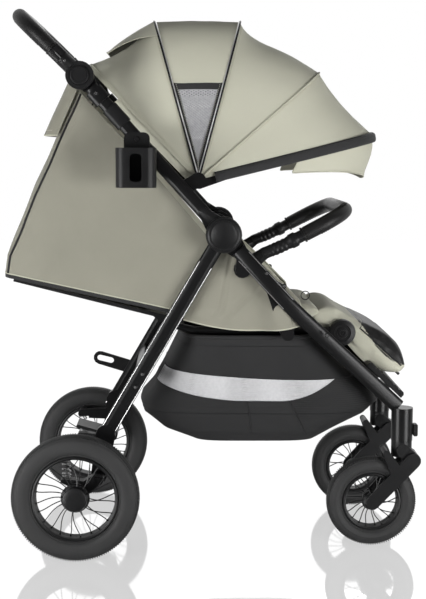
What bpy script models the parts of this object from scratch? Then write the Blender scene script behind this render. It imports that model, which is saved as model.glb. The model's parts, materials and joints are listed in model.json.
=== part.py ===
"""Folding baby stroller: a tube frame with a reclining seat, a canopy, a basket and four wheels.

The design frame has +X forward, +Y to the left of the stroller, +Z up, with x = 0 at the rear
axle, y = 0 on the middle plane and z = 0 on the ground. A parent empty moves the finished model
so that its origin lies under the middle of its box. Lengths are metres and angles are degrees,
measured in the side view from +X towards +Z.
"""
import math

import bmesh
import bpy
from mathutils import Vector

# Clearances, and how far joined pieces and cutters reach
GAP = 0.0003
RUNNING_GAP = 0.0010
LAYER_GAP = 0.0010
FACE_GAP = 0.0005
SINK = 0.004
CUT_MARGIN = 0.010

# Side view skeleton
HINGE_X = 0.310
HINGE_Z = 0.685
PUSH_ANGLE = 132.3
PUSH_LENGTH = 0.441
FRONT_ANGLE = -47.0
FRONT_STRAIGHT = 0.212
FRONT_LOWER_ANGLE = -43.0
CASTER_X = 0.703
REAR_LEG_ANGLE = 239.8
REAR_LEG_LENGTH = 0.4965
HANDLE_ANGLE = 136.0
HANDLE_REACH = 0.196
GRIP_START = 0.077

# Tube layers across the width, counted outwards from the middle plane
FRAME_INNER = 0.210
TUBE_THICKNESS = 0.018
REAR_LEG_INNER = 0.190
REAR_LEG_THICKNESS = 0.0172
FRONT_LEG_WIDTH = 0.033
PUSH_WIDTH = 0.029
REAR_LEG_WIDTH = 0.034
LAP_REACH = 0.045
LAP_OVERLAP = 0.015
LAP_RADIUS = 0.030
LEG_BEND_EASE = 0.020
LEG_FOOT_INSET = 0.010

# Main hinge
HINGE_CAP_RADIUS = 0.038
HINGE_CAP_DEPTH = 0.015
PIN_RADIUS = 0.006
NUT_RADIUS = 0.010
NUT_DEPTH = 0.003
EYE_RADIUS = 0.022
EYE_INSET = 0.012
BRACKET_REACH = 0.164
BRACKET_TOP_RADIUS = 0.020
BRACKET_FOOT_RADIUS = 0.014

# Rear wheels and suspension
REAR_WHEEL_RADIUS = 0.1356
REAR_TYRE_WIDTH = 0.045
REAR_RIM_RADIUS = 0.0885
REAR_TRACK = 0.530
REAR_HUB_RADIUS = 0.0265
WHEEL_SEGMENTS = 32
REAR_SPOKES = 12
SWING_AHEAD = 0.045
SWING_RISE = 0.030
SWING_THICKNESS = 0.0258
SWING_EYE_RADIUS = 0.013
TRAY_REACH = 0.012
SPRING_SEAT_X = -0.022
SPRING_RISE = 0.077
SPRING_HORN = 0.006
SPRING_LENGTH = 0.047
COIL_RADIUS = 0.0085
WIRE_RADIUS = 0.0015
CURLS = 5
CURL_POINTS = 8
ANKLE_RADIUS = 0.021
REAR_BAR_REACH = 0.360
REAR_BAR_DEPTH = 0.016
LOWER_BAR_AHEAD = 0.062
LOWER_BAR_RISE = 0.083
LOWER_BAR_RADIUS = 0.010
BRAKE_HALF_WIDTH = 0.045
BRAKE_WALL = 0.005
BRAKE_REACH = 0.075
BRAKE_RISE = 0.018
CATCH_REACH = 0.412
CATCH_RADIUS = 0.016
CATCH_THICKNESS = 0.005
CATCH_SLOT_RADIUS = 0.007
CATCH_BACK = 0.081
CATCH_RISE = 0.025

# Front wheels and casters
FRONT_WHEEL_RADIUS = 0.0985
FRONT_TYRE_WIDTH = 0.040
FRONT_RIM_RADIUS = 0.0615
FRONT_HUB_RADIUS = 0.018
FRONT_TRACK = 0.316
FRONT_SPOKES = 10
FRONT_TRAIL = 0.065
HOUSING_RADIUS = 0.0235
HOUSING_RISE = 0.135
HOUSING_HEIGHT = 0.072
HEAD_RADIUS = 0.0225
FORK_BOLT_AHEAD = 0.022
FORK_BOLT_DROP = 0.041
FORK_ARM_WIDTH = 0.030
FORK_ARM_THICKNESS = 0.006
FORK_TYRE_GAP = 0.0034
FORK_WEB_RADIUS = 0.007
FORK_BRIDGE_RADIUS = 0.006
FORK_BRIDGE_AHEAD = 0.028
FORK_BRIDGE_GAP = 0.012
HEAD_LOBE_RADIUS = 0.0165
HEAD_LOBE_RISE = 0.022
LOCK_WIDTH = 0.018
LOCK_DEPTH = 0.0105
LOCK_HEIGHT = 0.027
LOCK_RISE = 0.009
BOLT_RADIUS = 0.004
AXLE_RADIUS = 0.005
SPOKE_RADIUS = 0.0017
RIM_DEPTH = 0.006
AXLE_BLIND_DEPTH = 0.0035

# Canopy
CANOPY_ALONG = 0.1193
CANOPY_AHEAD = 0.0369
CANOPY_LUG_REACH = 0.130
CANOPY_LUG_RADIUS = 0.016
CANOPY_SAG = 0.016
CANOPY_HALF_WIDTH = 0.186
FABRIC = 0.003
REAR_HOOP_ANGLE = 134.4
REAR_HOOP_REACH = 0.343
HOOP_1_ANGLE = 105.6
HOOP_2_ANGLE = 75.0
HOOP_3_ANGLE = 41.1
HOOP_REACH = 0.352
SECTION_START = 1.5
BOW_ANGLE = 13.9
BOW_REACH = 0.398
BOW_RADIUS = 0.0045
BOW_START = 6.0
BOW_OVERLAP = 0.007
CANOPY_HUB_RADIUS = 0.020
CANOPY_HUB_INSET = 0.013
CANOPY_HUB_THICKNESS = 0.0055
VISOR_INSET = 0.002
VISOR_MIDDLE = 5.0
VISOR_MIDDLE_DROP = 0.012
VISOR_EDGE = 11.0
VISOR_EDGE_DROP = 0.028

# Seat, basket and rests
SEAT_HALF_WIDTH = 0.165
SEAT_REAR_X = 0.252
SEAT_FRONT_X = 0.528
SEAT_BASE_Z = 0.492
SEAT_THICKNESS = 0.036
SEAT_TUBE_RADIUS = 0.008
SEAT_TUBE_Z = 0.473
SEAT_RAIL_Y = 0.150
SEAT_RAIL_BEND_X = 0.250
SEAT_STUB_X = 0.447
SEAT_SAG = 0.002
SEAT_FRONT_RISE = 0.006
SEAM_DEPTH = 0.003
LEGREST_PIVOT_X = 0.569
LEGREST_ANGLE = -42.0
LEGREST_BOARD_INSET = 0.012
LEGREST_BOARD_LENGTH = 0.150
LEGREST_BOARD_THICKNESS = 0.006
LEGREST_BOARD_HALF_WIDTH = 0.138
LEGREST_PAD_LENGTH = 0.160
LEGREST_PAD_THICKNESS = 0.030
LEGREST_PAD_HALF_WIDTH = 0.152
LEGREST_LUG_Y = 0.120
RECLINE_PIVOT_X = 0.195
RECLINE_RISE = 0.014
REST_LUG_WIDTH = 0.016
REST_LUG_RADIUS = 0.013
WING_INNER = 0.172
WING_THICKNESS = 0.012
WING_REAR_X = 0.222
WING_LENGTH = 0.278
WING_BOTTOM_Z = 0.4855
WING_HEIGHT = 0.2145
WING_STRIP_DROP = 0.0032
BACK_ANGLE = 166.0
BACK_LENGTH = 0.345
BOARD_THICKNESS = 0.009
BOARD_INSET = 0.012
BACK_LUG_Y = 0.109
BACK_PAD_THICKNESS = 0.026
BACK_PAD_START = 0.030
BACK_PAD_LENGTH = 0.283
SHELL_HALF_WIDTH = 0.188
SHELL_REAR_X = -0.150
SHELL_LENGTH = 0.442
SHELL_BOTTOM_Z = 0.522
SHELL_HEIGHT = 0.460
BASKET_TOP_Z = 0.462
BASKET_DEPTH = 0.230
BASKET_CENTRE_X = 0.407
BASKET_LENGTH = 0.514
BASKET_HALF_WIDTH = 0.180
BASKET_WALL = 0.004

# Step on the front legs
FOOTPLATE_START = 0.212
FOOTPLATE_LENGTH = 0.104
FOOTPLATE_THICKNESS = 0.009
FOOTPLATE_RIB = 0.004
FOOTPLATE_RIBS = 6

# Bumper bar
BUMPER_AHEAD = 0.040
BUMPER_DROP = 0.075
BUMPER_ELBOW = (0.043, 0.033)
BUMPER_SOCKET = (0.090, 0.053)
BUMPER_RISE = 28.0
BUMPER_REACH = 0.150
BUMPER_CORNER = 0.070
BUMPER_LUG_RADIUS = 0.018
BUMPER_BASE_REACH = 0.058
BUMPER_BASE_RADIUS = 0.015
BUMPER_TUBE_RADIUS = 0.010
BUMPER_GRIP_RADIUS = 0.0165
BUMPER_Y = 0.199

# Handlebar
KNUCKLE_RADIUS = 0.029
BUTTON_RADIUS = 0.0197
KNUCKLE_PROUD = 0.010
HANDLE_SOCKET = 0.050
HANDLE_CORNER = 0.075
HANDLE_INSET = 0.002
HANDLE_TUBE_RADIUS = 0.011
GRIP_RADIUS = 0.016
BUTTON_SEAT = 0.002
BUTTON_HEIGHT = 0.012
BUTTON_TRAVEL = 0.004
BUTTON_CHAMFER = 0.0015
RING_DROP = 0.040
RING_LENGTH = 0.030
RING_WALL = 0.003
TRIGGER_DROP = 0.088
TRIGGER_LENGTH = 0.047

# Cup holder
CUP_WIDTH = 0.081
CUP_DEPTH = 0.078
CUP_HEIGHT = 0.080
CUP_WALL = 0.003
CUP_BACK_INSET = 0.014
CUP_TOP_DROP = 0.018
CUP_CORNER = 0.016
CUP_WINDOW_HALF_WIDTH = 0.012
CUP_CLIP_RADIUS = 0.012
CUP_CLIP_CLEARANCE = 0.027
CUP_STANDOFF = 0.017

BLACK_METAL = ((0.012, 0.012, 0.013), 0.32, 0.85)
BLACK_PLASTIC = ((0.015, 0.015, 0.016), 0.45, 0.0)
RUBBER = ((0.020, 0.020, 0.021), 0.75, 0.0)
LEATHER = ((0.018, 0.017, 0.017), 0.55, 0.0)
BEIGE_FABRIC = ((0.52, 0.51, 0.42), 0.85, 0.0)
BLACK_FABRIC = ((0.022, 0.022, 0.024), 0.85, 0.0)
SPRING_STEEL = ((0.45, 0.45, 0.46), 0.30, 1.0)


def clear_scene():
    for item in list(bpy.data.objects):
        bpy.data.objects.remove(item, do_unlink=True)


# Points and outlines in the side view
def polar(centre, degrees, distance):
    angle = math.radians(degrees)
    return (centre[0] + distance * math.cos(angle), centre[1] + distance * math.sin(angle))


def beside(point, degrees, offset):
    return polar(point, degrees + 90.0, offset)


def arc(centre, radius, start, end, count):
    step = (end - start) / (count - 1)
    return [polar(centre, start + step * index, radius) for index in range(count)]


def strap(start, end, start_radius, end_radius, count=7):
    """Outline of a lever with a round end about each of two points."""
    degrees = math.degrees(math.atan2(end[1] - start[1], end[0] - start[0]))
    near = arc(start, start_radius, degrees + 90.0, degrees + 270.0, count)
    return near + arc(end, end_radius, degrees - 90.0, degrees + 90.0, count)


def rounded_box(left, right, bottom, top, radius, count=4):
    corners = [(right - radius, top - radius, 0.0), (left + radius, top - radius, 90.0),
               (left + radius, bottom + radius, 180.0), (right - radius, bottom + radius, 270.0)]
    outline = []
    for x, z, start in corners:
        outline += arc((x, z), radius, start, start + 90.0, count)
    return outline


def at(point, y):
    return Vector((point[0], y, point[1]))


# Solids
def solid(bm, sharp=35.0):
    bmesh.ops.recalc_face_normals(bm, faces=bm.faces)
    mesh = bpy.data.meshes.new("solid")
    bm.to_mesh(mesh)
    bm.free()
    mesh.shade_smooth()
    mesh.set_sharp_from_angle(angle=math.radians(sharp))
    item = bpy.data.objects.new("solid", mesh)
    bpy.context.scene.collection.objects.link(item)
    return item


def loft(rings, closed=False):
    """Skin equal rings of points; the first and last are capped unless the loft closes on itself."""
    bm = bmesh.new()
    rows = [[bm.verts.new(point) for point in ring] for ring in rings]
    pairs = list(zip(rows, rows[1:]))
    if closed:
        pairs.append((rows[-1], rows[0]))
    for low, high in pairs:
        for index in range(len(low)):
            after = (index + 1) % len(low)
            bm.faces.new((low[index], low[after], high[after], high[index]))
    if not closed:
        bm.faces.new(rows[0])
        bm.faces.new(rows[-1])
    return solid(bm)


def plate(outline, y_low, y_high):
    return loft([[at(point, y) for point in outline] for y in (y_low, y_high)])


def turned(profile, centre, side, segments, closed=True, phase=0.0):
    """Spin (radius, y) points about a lateral axis; a closed profile makes a ring."""
    rings = []
    for index in range(segments):
        degrees = phase + 360.0 * index / segments
        rings.append([at(polar(centre, degrees, radius), side * y) for radius, y in profile])
    if closed:
        return loft(rings, closed=True)
    across = list(zip(*rings))
    return loft(across)


def disc(centre, radius, y_low, y_high, segments=24):
    return plate(arc(centre, radius, 0.0, 360.0 - 360.0 / segments, segments), y_low, y_high)


def circle_section(radius, count):
    turn = 2.0 * math.pi / count
    return [(radius * math.cos(turn * i), radius * math.sin(turn * i)) for i in range(count)]


def oval_section(across, along, count=12, power=3.0):
    """Rounded flat tube: across is its size over the thickness, along is its width."""
    points = []
    for index in range(count):
        angle = 2.0 * math.pi * (index + 0.5) / count
        cosine = math.cos(angle)
        sine = math.sin(angle)
        points.append((across / 2 * math.copysign(abs(cosine) ** (2 / power), cosine),
                       along / 2 * math.copysign(abs(sine) ** (2 / power), sine)))
    return points


def sweep_rings(path, section, reference):
    path = [Vector(point) for point in path]
    rings = []
    normal = Vector(reference)
    for index, point in enumerate(path):
        ahead = path[min(index + 1, len(path) - 1)]
        behind = path[max(index - 1, 0)]
        tangent = (ahead - behind).normalized()
        normal = (normal - tangent * normal.dot(tangent)).normalized()
        binormal = tangent.cross(normal)
        rings.append([point + normal * a + binormal * b for a, b in section])
    return rings


def bar(path, section, reference=(0.0, 1.0, 0.0)):
    return loft(sweep_rings(path, section, reference))


def sleeve(path, outer, inner, reference=(0.0, 1.0, 0.0)):
    """Tube with a bore: both sections have the same number of points."""
    bm = bmesh.new()
    skins = []
    for section in (outer, inner):
        rings = sweep_rings(path, section, reference)
        rows = [[bm.verts.new(point) for point in ring] for ring in rings]
        skins.append(rows)
        for low, high in zip(rows, rows[1:]):
            for index in range(len(low)):
                after = (index + 1) % len(low)
                bm.faces.new((low[index], low[after], high[after], high[index]))
    for end in (0, -1):
        ring_out, ring_in = skins[0][end], skins[1][end]
        for index in range(len(ring_out)):
            after = (index + 1) % len(ring_out)
            bm.faces.new((ring_out[index], ring_out[after], ring_in[after], ring_in[index]))
    return solid(bm)


def sheet(front, back):
    """Closed panel between two equal grids of points, one on each face of the cloth."""
    bm = bmesh.new()
    grids = [[[bm.verts.new(point) for point in row] for row in grid] for grid in (front, back)]
    for grid in grids:
        for low, high in zip(grid, grid[1:]):
            for index in range(len(low) - 1):
                bm.faces.new((low[index], low[index + 1], high[index + 1], high[index]))
    def rim(grid):
        last = [row[-1] for row in grid[1:-1]]
        first = [row[0] for row in grid[-2:0:-1]]
        return grid[0] + last + grid[-1][::-1] + first
    edge_front, edge_back = rim(grids[0]), rim(grids[1])
    for index in range(len(edge_front)):
        after = (index + 1) % len(edge_front)
        bm.faces.new((edge_front[index], edge_front[after], edge_back[after], edge_back[index]))
    return solid(bm, sharp=50.0)


def apply_boolean(base, tools, operation):
    """Add or remove several pieces, one after the other, with the exact solver."""
    for tool in tools:
        modifier = base.modifiers.new(operation.title(), "BOOLEAN")
        modifier.operation = operation
        modifier.solver = "EXACT"
        modifier.object = tool
        bpy.context.view_layer.update()
        graph = bpy.context.evaluated_depsgraph_get()
        result = bpy.data.meshes.new_from_object(base.evaluated_get(graph))
        base.modifiers.clear()
        base.data = result
        bpy.data.objects.remove(tool, do_unlink=True)
    return base


def fuse(base, *tools):
    return apply_boolean(base, tools, "UNION")


def carve(base, *tools):
    return apply_boolean(base, tools, "DIFFERENCE")


def together(items):
    """Put separate pieces into one mesh, ready to be fused with another."""
    bm = bmesh.new()
    for item in items:
        bm.from_mesh(item.data)
        bpy.data.objects.remove(item, do_unlink=True)
    return solid(bm)


def finish(item, name, look, pivot=(0.0, 0.0, 0.0)):
    """Name the piece, put its origin on its joint, and give it its own material."""
    item.name = name
    pivot = Vector(pivot)
    for vertex in item.data.vertices:
        vertex.co -= pivot
    item.location = pivot
    colour, roughness, metallic = look
    material = bpy.data.materials.new(name)
    material.use_nodes = True
    shader = material.node_tree.nodes["Principled BSDF"]
    shader.inputs["Base Color"].default_value = (*colour, 1.0)
    shader.inputs["Roughness"].default_value = roughness
    shader.inputs["Metallic"].default_value = metallic
    item.data.materials.clear()
    item.data.materials.append(material)
    return item


SIDES = (("right", -1.0), ("left", 1.0))
HINGE = (HINGE_X, HINGE_Z)
FRAME_OUTER = FRAME_INNER + TUBE_THICKNESS
FRAME_MIDDLE = FRAME_INNER + TUBE_THICKNESS / 2
LAP_INNER_TOP = FRAME_MIDDLE - LAYER_GAP / 2
LAP_OUTER_BASE = FRAME_MIDDLE + LAYER_GAP / 2
HANDLE_JOINT = polar(HINGE, PUSH_ANGLE, PUSH_LENGTH)
FRONT_BEND = polar(HINGE, FRONT_ANGLE, FRONT_STRAIGHT)
REAR_AXLE_Z = REAR_WHEEL_RADIUS * math.cos(math.pi / WHEEL_SEGMENTS)
FRONT_AXLE_Z = FRONT_WHEEL_RADIUS * math.cos(math.pi / WHEEL_SEGMENTS)
REAR_AXLE = (0.0, REAR_AXLE_Z)
FRONT_AXLE = (CASTER_X - FRONT_TRAIL, FRONT_AXLE_Z)
HOUSING_BOTTOM = FRONT_AXLE_Z + HOUSING_RISE
REAR_WHEEL_Y = REAR_TRACK / 2
FRONT_WHEEL_Y = FRONT_TRACK / 2
FORK_BOLT = (CASTER_X + FORK_BOLT_AHEAD, HOUSING_BOTTOM - FORK_BOLT_DROP)
SWING_PIVOT = (SWING_AHEAD, REAR_AXLE_Z + SWING_RISE)
SPRING_TOP_Z = REAR_AXLE_Z + SPRING_RISE
BUMPER_PIVOT = (HINGE_X + BUMPER_AHEAD, HINGE_Z - BUMPER_DROP)
CANOPY_PIVOT = beside(polar(HINGE, PUSH_ANGLE, CANOPY_ALONG), PUSH_ANGLE, -CANOPY_AHEAD)
LEGREST_PIVOT = (LEGREST_PIVOT_X, SEAT_TUBE_Z)
RECLINE_PIVOT = (RECLINE_PIVOT_X, SEAT_TUBE_Z + RECLINE_RISE)
REAR_LEG_OUTER = REAR_LEG_INNER + REAR_LEG_THICKNESS
REAR_LEG_MIDDLE = REAR_LEG_INNER + REAR_LEG_THICKNESS / 2
SWING_INNER = REAR_LEG_OUTER + 3 * LAYER_GAP
SWING_OUTER = SWING_INNER + SWING_THICKNESS
LEG_FOOT_X = CASTER_X - LEG_FOOT_INSET
LEG_SPLAY = (FRONT_WHEEL_Y - FRAME_MIDDLE) / (LEG_FOOT_X - FRONT_BEND[0])


def layered(side, inner, outer):
    """Low and high y of a layer given by its distances from the middle plane."""
    return (min(side * inner, side * outer), max(side * inner, side * outer))


def front_leg_y(x):
    """Distance of the front leg from the middle plane; below its bend it runs inwards."""
    return FRAME_MIDDLE + LEG_SPLAY * max(0.0, x - FRONT_BEND[0])


def front_leg_z(x):
    return FRONT_BEND[1] + (x - FRONT_BEND[0]) * math.tan(math.radians(FRONT_LOWER_ANGLE))


def hinge_bore(side):
    """Cutter for the hole that the hinge pin goes through."""
    return disc(HINGE, PIN_RADIUS + GAP,
                *layered(side, REAR_LEG_INNER - CUT_MARGIN, FRAME_OUTER + CUT_MARGIN), segments=16)


def front_leg(side):
    """Upper tube with its half lap, seat bracket, bumper lug and caster housing."""
    start = polar(HINGE, FRONT_ANGLE, LAP_REACH)
    before = polar(HINGE, FRONT_ANGLE, FRONT_STRAIGHT - LEG_BEND_EASE)
    path = [at(start, side * FRAME_MIDDLE), at(before, side * FRAME_MIDDLE)]
    for x in (FRONT_BEND[0] + LEG_BEND_EASE, LEG_FOOT_X):
        path.append(at((x, front_leg_z(x)), side * front_leg_y(x)))
    tube = bar(path, oval_section(TUBE_THICKNESS, FRONT_LEG_WIDTH))
    lap_low, lap_high = layered(side, FRAME_INNER, LAP_INNER_TOP)
    lap_end = polar(HINGE, FRONT_ANGLE, LAP_REACH + LAP_OVERLAP)
    lap = plate(strap(HINGE, lap_end, LAP_RADIUS, FRONT_LEG_WIDTH / 2 - SINK / 2), lap_low, lap_high)
    housing = caster_tube(side, HOUSING_RADIUS, HOUSING_BOTTOM, HOUSING_BOTTOM + HOUSING_HEIGHT)
    bracket_top = polar(HINGE, FRONT_ANGLE, BRACKET_REACH)
    bracket_foot = (SEAT_STUB_X, SEAT_TUBE_Z)
    bracket_y = layered(side, REAR_LEG_INNER, FRAME_INNER + SINK)
    bracket = plate(strap(bracket_top, bracket_foot, BRACKET_TOP_RADIUS, BRACKET_FOOT_RADIUS), *bracket_y)
    lug_y = layered(side, FRAME_INNER - 3 * FACE_GAP, FRAME_OUTER - TUBE_THICKNESS / 6)
    lug_root = polar(HINGE, FRONT_ANGLE, BUMPER_BASE_REACH)
    lug = plate(strap(BUMPER_PIVOT, lug_root, BUMPER_BASE_RADIUS, 0.8 * BUMPER_BASE_RADIUS), *lug_y)
    pin_y = layered(side, REAR_LEG_INNER, FRAME_INNER + SINK / 2)
    pin = disc(BUMPER_PIVOT, AXLE_RADIUS, *pin_y, segments=12)
    leg = fuse(tube, lap, housing, bracket, lug, pin)
    return carve(leg, hinge_bore(side))


def caster_tube(side, radius, bottom, top, segments=24):
    centre = (CASTER_X, side * FRONT_WHEEL_Y)
    outline = arc(centre, radius, 0.0, 360.0 - 360.0 / segments, segments)
    return loft([[Vector((x, y, z)) for x, y in outline] for z in (bottom, top)])


def main_hinge(side):
    """Cap, through pin and inner nut that hold the three legs together."""
    outer = FRAME_OUTER + FACE_GAP
    shares = ((1.0, 0.0), (1.0, 0.60), (0.90, 0.85), (0.71, 1.0), (0.63, 0.87), (0.16, 0.87))
    dome = [(HINGE_CAP_RADIUS * radius, outer + HINGE_CAP_DEPTH * depth) for radius, depth in shares]
    cap = turned(dome, HINGE, side, 28, closed=False)
    nut_base = REAR_LEG_INNER - FACE_GAP
    pin = disc(HINGE, PIN_RADIUS, *layered(side, nut_base - NUT_DEPTH / 2, outer + SINK), segments=16)
    nut = disc(HINGE, NUT_RADIUS, *layered(side, nut_base - NUT_DEPTH, nut_base), segments=12)
    return fuse(cap, pin, nut)


def push_tube(side):
    """Half lap, tube, canopy lug and the inner disc of the handle joint."""
    start = polar(HINGE, PUSH_ANGLE, LAP_REACH)
    end = polar(HINGE, PUSH_ANGLE, PUSH_LENGTH - KNUCKLE_RADIUS - SINK)
    y = side * FRAME_MIDDLE
    tube = bar([at(start, y), at(end, y)], oval_section(TUBE_THICKNESS, PUSH_WIDTH))
    lap_y = layered(side, LAP_OUTER_BASE, FRAME_OUTER)
    lap_end = polar(HINGE, PUSH_ANGLE, LAP_REACH + LAP_OVERLAP)
    lap = plate(strap(HINGE, lap_end, LAP_RADIUS, PUSH_WIDTH / 2 - SINK / 2), *lap_y)
    joint_y = layered(side, FRAME_INNER, LAP_INNER_TOP)
    joint = plate(strap(HANDLE_JOINT, end, KNUCKLE_RADIUS, PUSH_WIDTH / 2), *joint_y)
    ring_start = at(polar(HINGE, PUSH_ANGLE, PUSH_LENGTH - RING_DROP - RING_LENGTH), y)
    ring_end = at(polar(HINGE, PUSH_ANGLE, PUSH_LENGTH - RING_DROP), y)
    ring = bar([ring_start, ring_end],
               oval_section(TUBE_THICKNESS + 2 * RING_WALL, PUSH_WIDTH + 3 * RING_WALL))
    lug_y = layered(side, REAR_LEG_INNER, FRAME_INNER + SINK)
    lug_root = polar(HINGE, PUSH_ANGLE, CANOPY_LUG_REACH)
    lug = plate(strap(CANOPY_PIVOT, lug_root, CANOPY_LUG_RADIUS, 0.8 * CANOPY_LUG_RADIUS), *lug_y)
    canopy_pin = disc(CANOPY_PIVOT, AXLE_RADIUS,
                      *layered(side, CANOPY_HALF_WIDTH - CANOPY_HUB_INSET, REAR_LEG_INNER + SINK / 2),
                      segments=12)
    handle_bore = disc(HANDLE_JOINT, PIN_RADIUS + GAP,
                       *layered(side, FRAME_INNER - CUT_MARGIN, FRAME_OUTER + CUT_MARGIN), segments=16)
    leg = fuse(tube, lap, joint, ring, lug, canopy_pin)
    return carve(leg, hinge_bore(side), handle_bore)


def handle_knuckle(side):
    """Outer half of the handle joint, with a pocket for its button and a socket for the tube."""
    disc_y = layered(side, LAP_OUTER_BASE, FRAME_OUTER + KNUCKLE_PROUD)
    body = disc(HANDLE_JOINT, KNUCKLE_RADIUS, *disc_y)
    arm_end = polar(HANDLE_JOINT, HANDLE_ANGLE, HANDLE_SOCKET)
    arm_y = side * (FRAME_OUTER - HANDLE_INSET)
    arm_start = at(polar(HANDLE_JOINT, HANDLE_ANGLE, KNUCKLE_RADIUS - SINK), arm_y)
    arm = bar([arm_start, at(arm_end, arm_y)], circle_section(GRIP_RADIUS, 12))
    pocket_floor = FRAME_OUTER + BUTTON_SEAT - BUTTON_TRAVEL - FACE_GAP
    pocket_y = layered(side, pocket_floor, FRAME_OUTER + 2 * CUT_MARGIN)
    pocket = disc(HANDLE_JOINT, BUTTON_RADIUS + GAP, *pocket_y)
    clear_y = layered(side, FRAME_INNER - 2 * CUT_MARGIN, LAP_OUTER_BASE)
    clear_disc = disc(HANDLE_JOINT, KNUCKLE_RADIUS + RUNNING_GAP, *clear_y)
    pin = disc(HANDLE_JOINT, PIN_RADIUS, *layered(side, FRAME_INNER, LAP_OUTER_BASE + SINK / 2), segments=16)
    body = carve(fuse(body, arm), pocket, clear_disc)
    return fuse(body, pin)


def handle_button(side):
    base = FRAME_OUTER + BUTTON_SEAT
    top = base + BUTTON_HEIGHT
    profile = [(BUTTON_RADIUS, base), (BUTTON_RADIUS, top - BUTTON_CHAMFER),
               (BUTTON_RADIUS - BUTTON_CHAMFER, top), (0.2 * BUTTON_RADIUS, top)]
    return turned(profile, HANDLE_JOINT, side, 24, closed=False)


def handle_path(count=6):
    """Route of the handlebar from one knuckle round to the other."""
    start = HANDLE_SOCKET + GAP
    y = FRAME_OUTER - HANDLE_INSET
    inner_y = y - 2 * HANDLE_INSET - HANDLE_CORNER
    straight = HANDLE_REACH - GRIP_RADIUS - HANDLE_CORNER
    points = [(start, y), ((start + GRIP_START) / 2, y), (GRIP_START, y - HANDLE_INSET)]
    for index in range(count):
        angle = math.radians(90.0 * index / (count - 1))
        reach = straight + HANDLE_CORNER * math.sin(angle)
        points.append((reach, inner_y + HANDLE_CORNER * math.cos(angle)))
    points = points + [(reach, -across) for reach, across in reversed(points)]
    return [at(polar(HANDLE_JOINT, HANDLE_ANGLE, reach), across) for reach, across in points]


def handle_normal(angle):
    direction = polar((0.0, 0.0), angle + 90.0, 1.0)
    return (direction[0], 0.0, direction[1])


def handlebar():
    return bar(handle_path(), circle_section(HANDLE_TUBE_RADIUS, 8), handle_normal(HANDLE_ANGLE))


def handlebar_grip():
    return sleeve(handle_path()[2:-2], circle_section(GRIP_RADIUS, 8),
                  circle_section(HANDLE_TUBE_RADIUS + GAP, 8), handle_normal(HANDLE_ANGLE))


def fold_trigger(side):
    start = polar(HINGE, PUSH_ANGLE, PUSH_LENGTH - TRIGGER_DROP - TRIGGER_LENGTH)
    end = polar(HINGE, PUSH_ANGLE, PUSH_LENGTH - TRIGGER_DROP)
    path = [at(start, side * FRAME_MIDDLE), at(end, side * FRAME_MIDDLE)]
    return sleeve(path, oval_section(TUBE_THICKNESS + 2 * RING_WALL, PUSH_WIDTH + 2 * RING_WALL),
                  oval_section(TUBE_THICKNESS + 2 * GAP, PUSH_WIDTH + 2 * GAP))


REAR_LEG_END = polar(HINGE, REAR_LEG_ANGLE, REAR_LEG_LENGTH)
SPRING_Y = (SWING_INNER + SWING_OUTER) / 2
REAR_BAR = polar(HINGE, REAR_LEG_ANGLE, REAR_BAR_REACH)
LOWER_BAR = (LOWER_BAR_AHEAD, REAR_AXLE_Z + LOWER_BAR_RISE)
CATCH_PIVOT = polar(HINGE, REAR_LEG_ANGLE, CATCH_REACH)


def rear_leg(side):
    """Tube with its hinge eye and the suspension housing at its foot."""
    start = polar(HINGE, REAR_LEG_ANGLE, EYE_INSET)
    y = side * REAR_LEG_MIDDLE
    tube = bar([at(start, y), at(REAR_LEG_END, y)], oval_section(REAR_LEG_THICKNESS, REAR_LEG_WIDTH))
    layer = layered(side, REAR_LEG_INNER, REAR_LEG_OUTER)
    eye = disc(HINGE, EYE_RADIUS, *layer)
    ankle = plate(strap(REAR_LEG_END, SWING_PIVOT, ANKLE_RADIUS, 0.8 * ANKLE_RADIUS), *layer)
    horn_tip = (SPRING_SEAT_X, SPRING_TOP_Z + SPRING_HORN)
    horn = plate(strap(LOWER_BAR, horn_tip, LOWER_BAR_RADIUS + SINK, LOWER_BAR_RADIUS), *layer)
    cap = disc(horn_tip, LOWER_BAR_RADIUS, *layered(side, REAR_LEG_INNER + SINK, SWING_OUTER), segments=16)
    left = SPRING_SEAT_X - 3 * CUT_MARGIN
    right = SPRING_SEAT_X + LOWER_BAR_RADIUS + SPRING_HORN
    low = SPRING_TOP_Z - 3 * CUT_MARGIN
    flat = plate([(left, low), (right, low), (right, SPRING_TOP_Z), (left, SPRING_TOP_Z)],
                 *layered(side, REAR_LEG_INNER - CUT_MARGIN, SWING_OUTER + CUT_MARGIN))
    pin_y = layered(side, REAR_LEG_INNER + SINK, SWING_OUTER + SINK / 2)
    pin = disc(SWING_PIVOT, PIN_RADIUS, *pin_y, segments=16)
    leg = carve(fuse(tube, eye, ankle, horn, cap), flat)
    return carve(fuse(leg, pin), hinge_bore(side))


def rear_crossbar():
    path = [at(REAR_BAR, -REAR_LEG_INNER + GAP), at(REAR_BAR, REAR_LEG_INNER - GAP)]
    return bar(path, oval_section(REAR_LEG_WIDTH, REAR_BAR_DEPTH), handle_normal(REAR_LEG_ANGLE - 90.0))


def rear_axle():
    path = [at(LOWER_BAR, -REAR_LEG_INNER + GAP), at(LOWER_BAR, REAR_LEG_INNER - GAP)]
    return bar(path, circle_section(LOWER_BAR_RADIUS, 12), (0.0, 0.0, 1.0))


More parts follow.
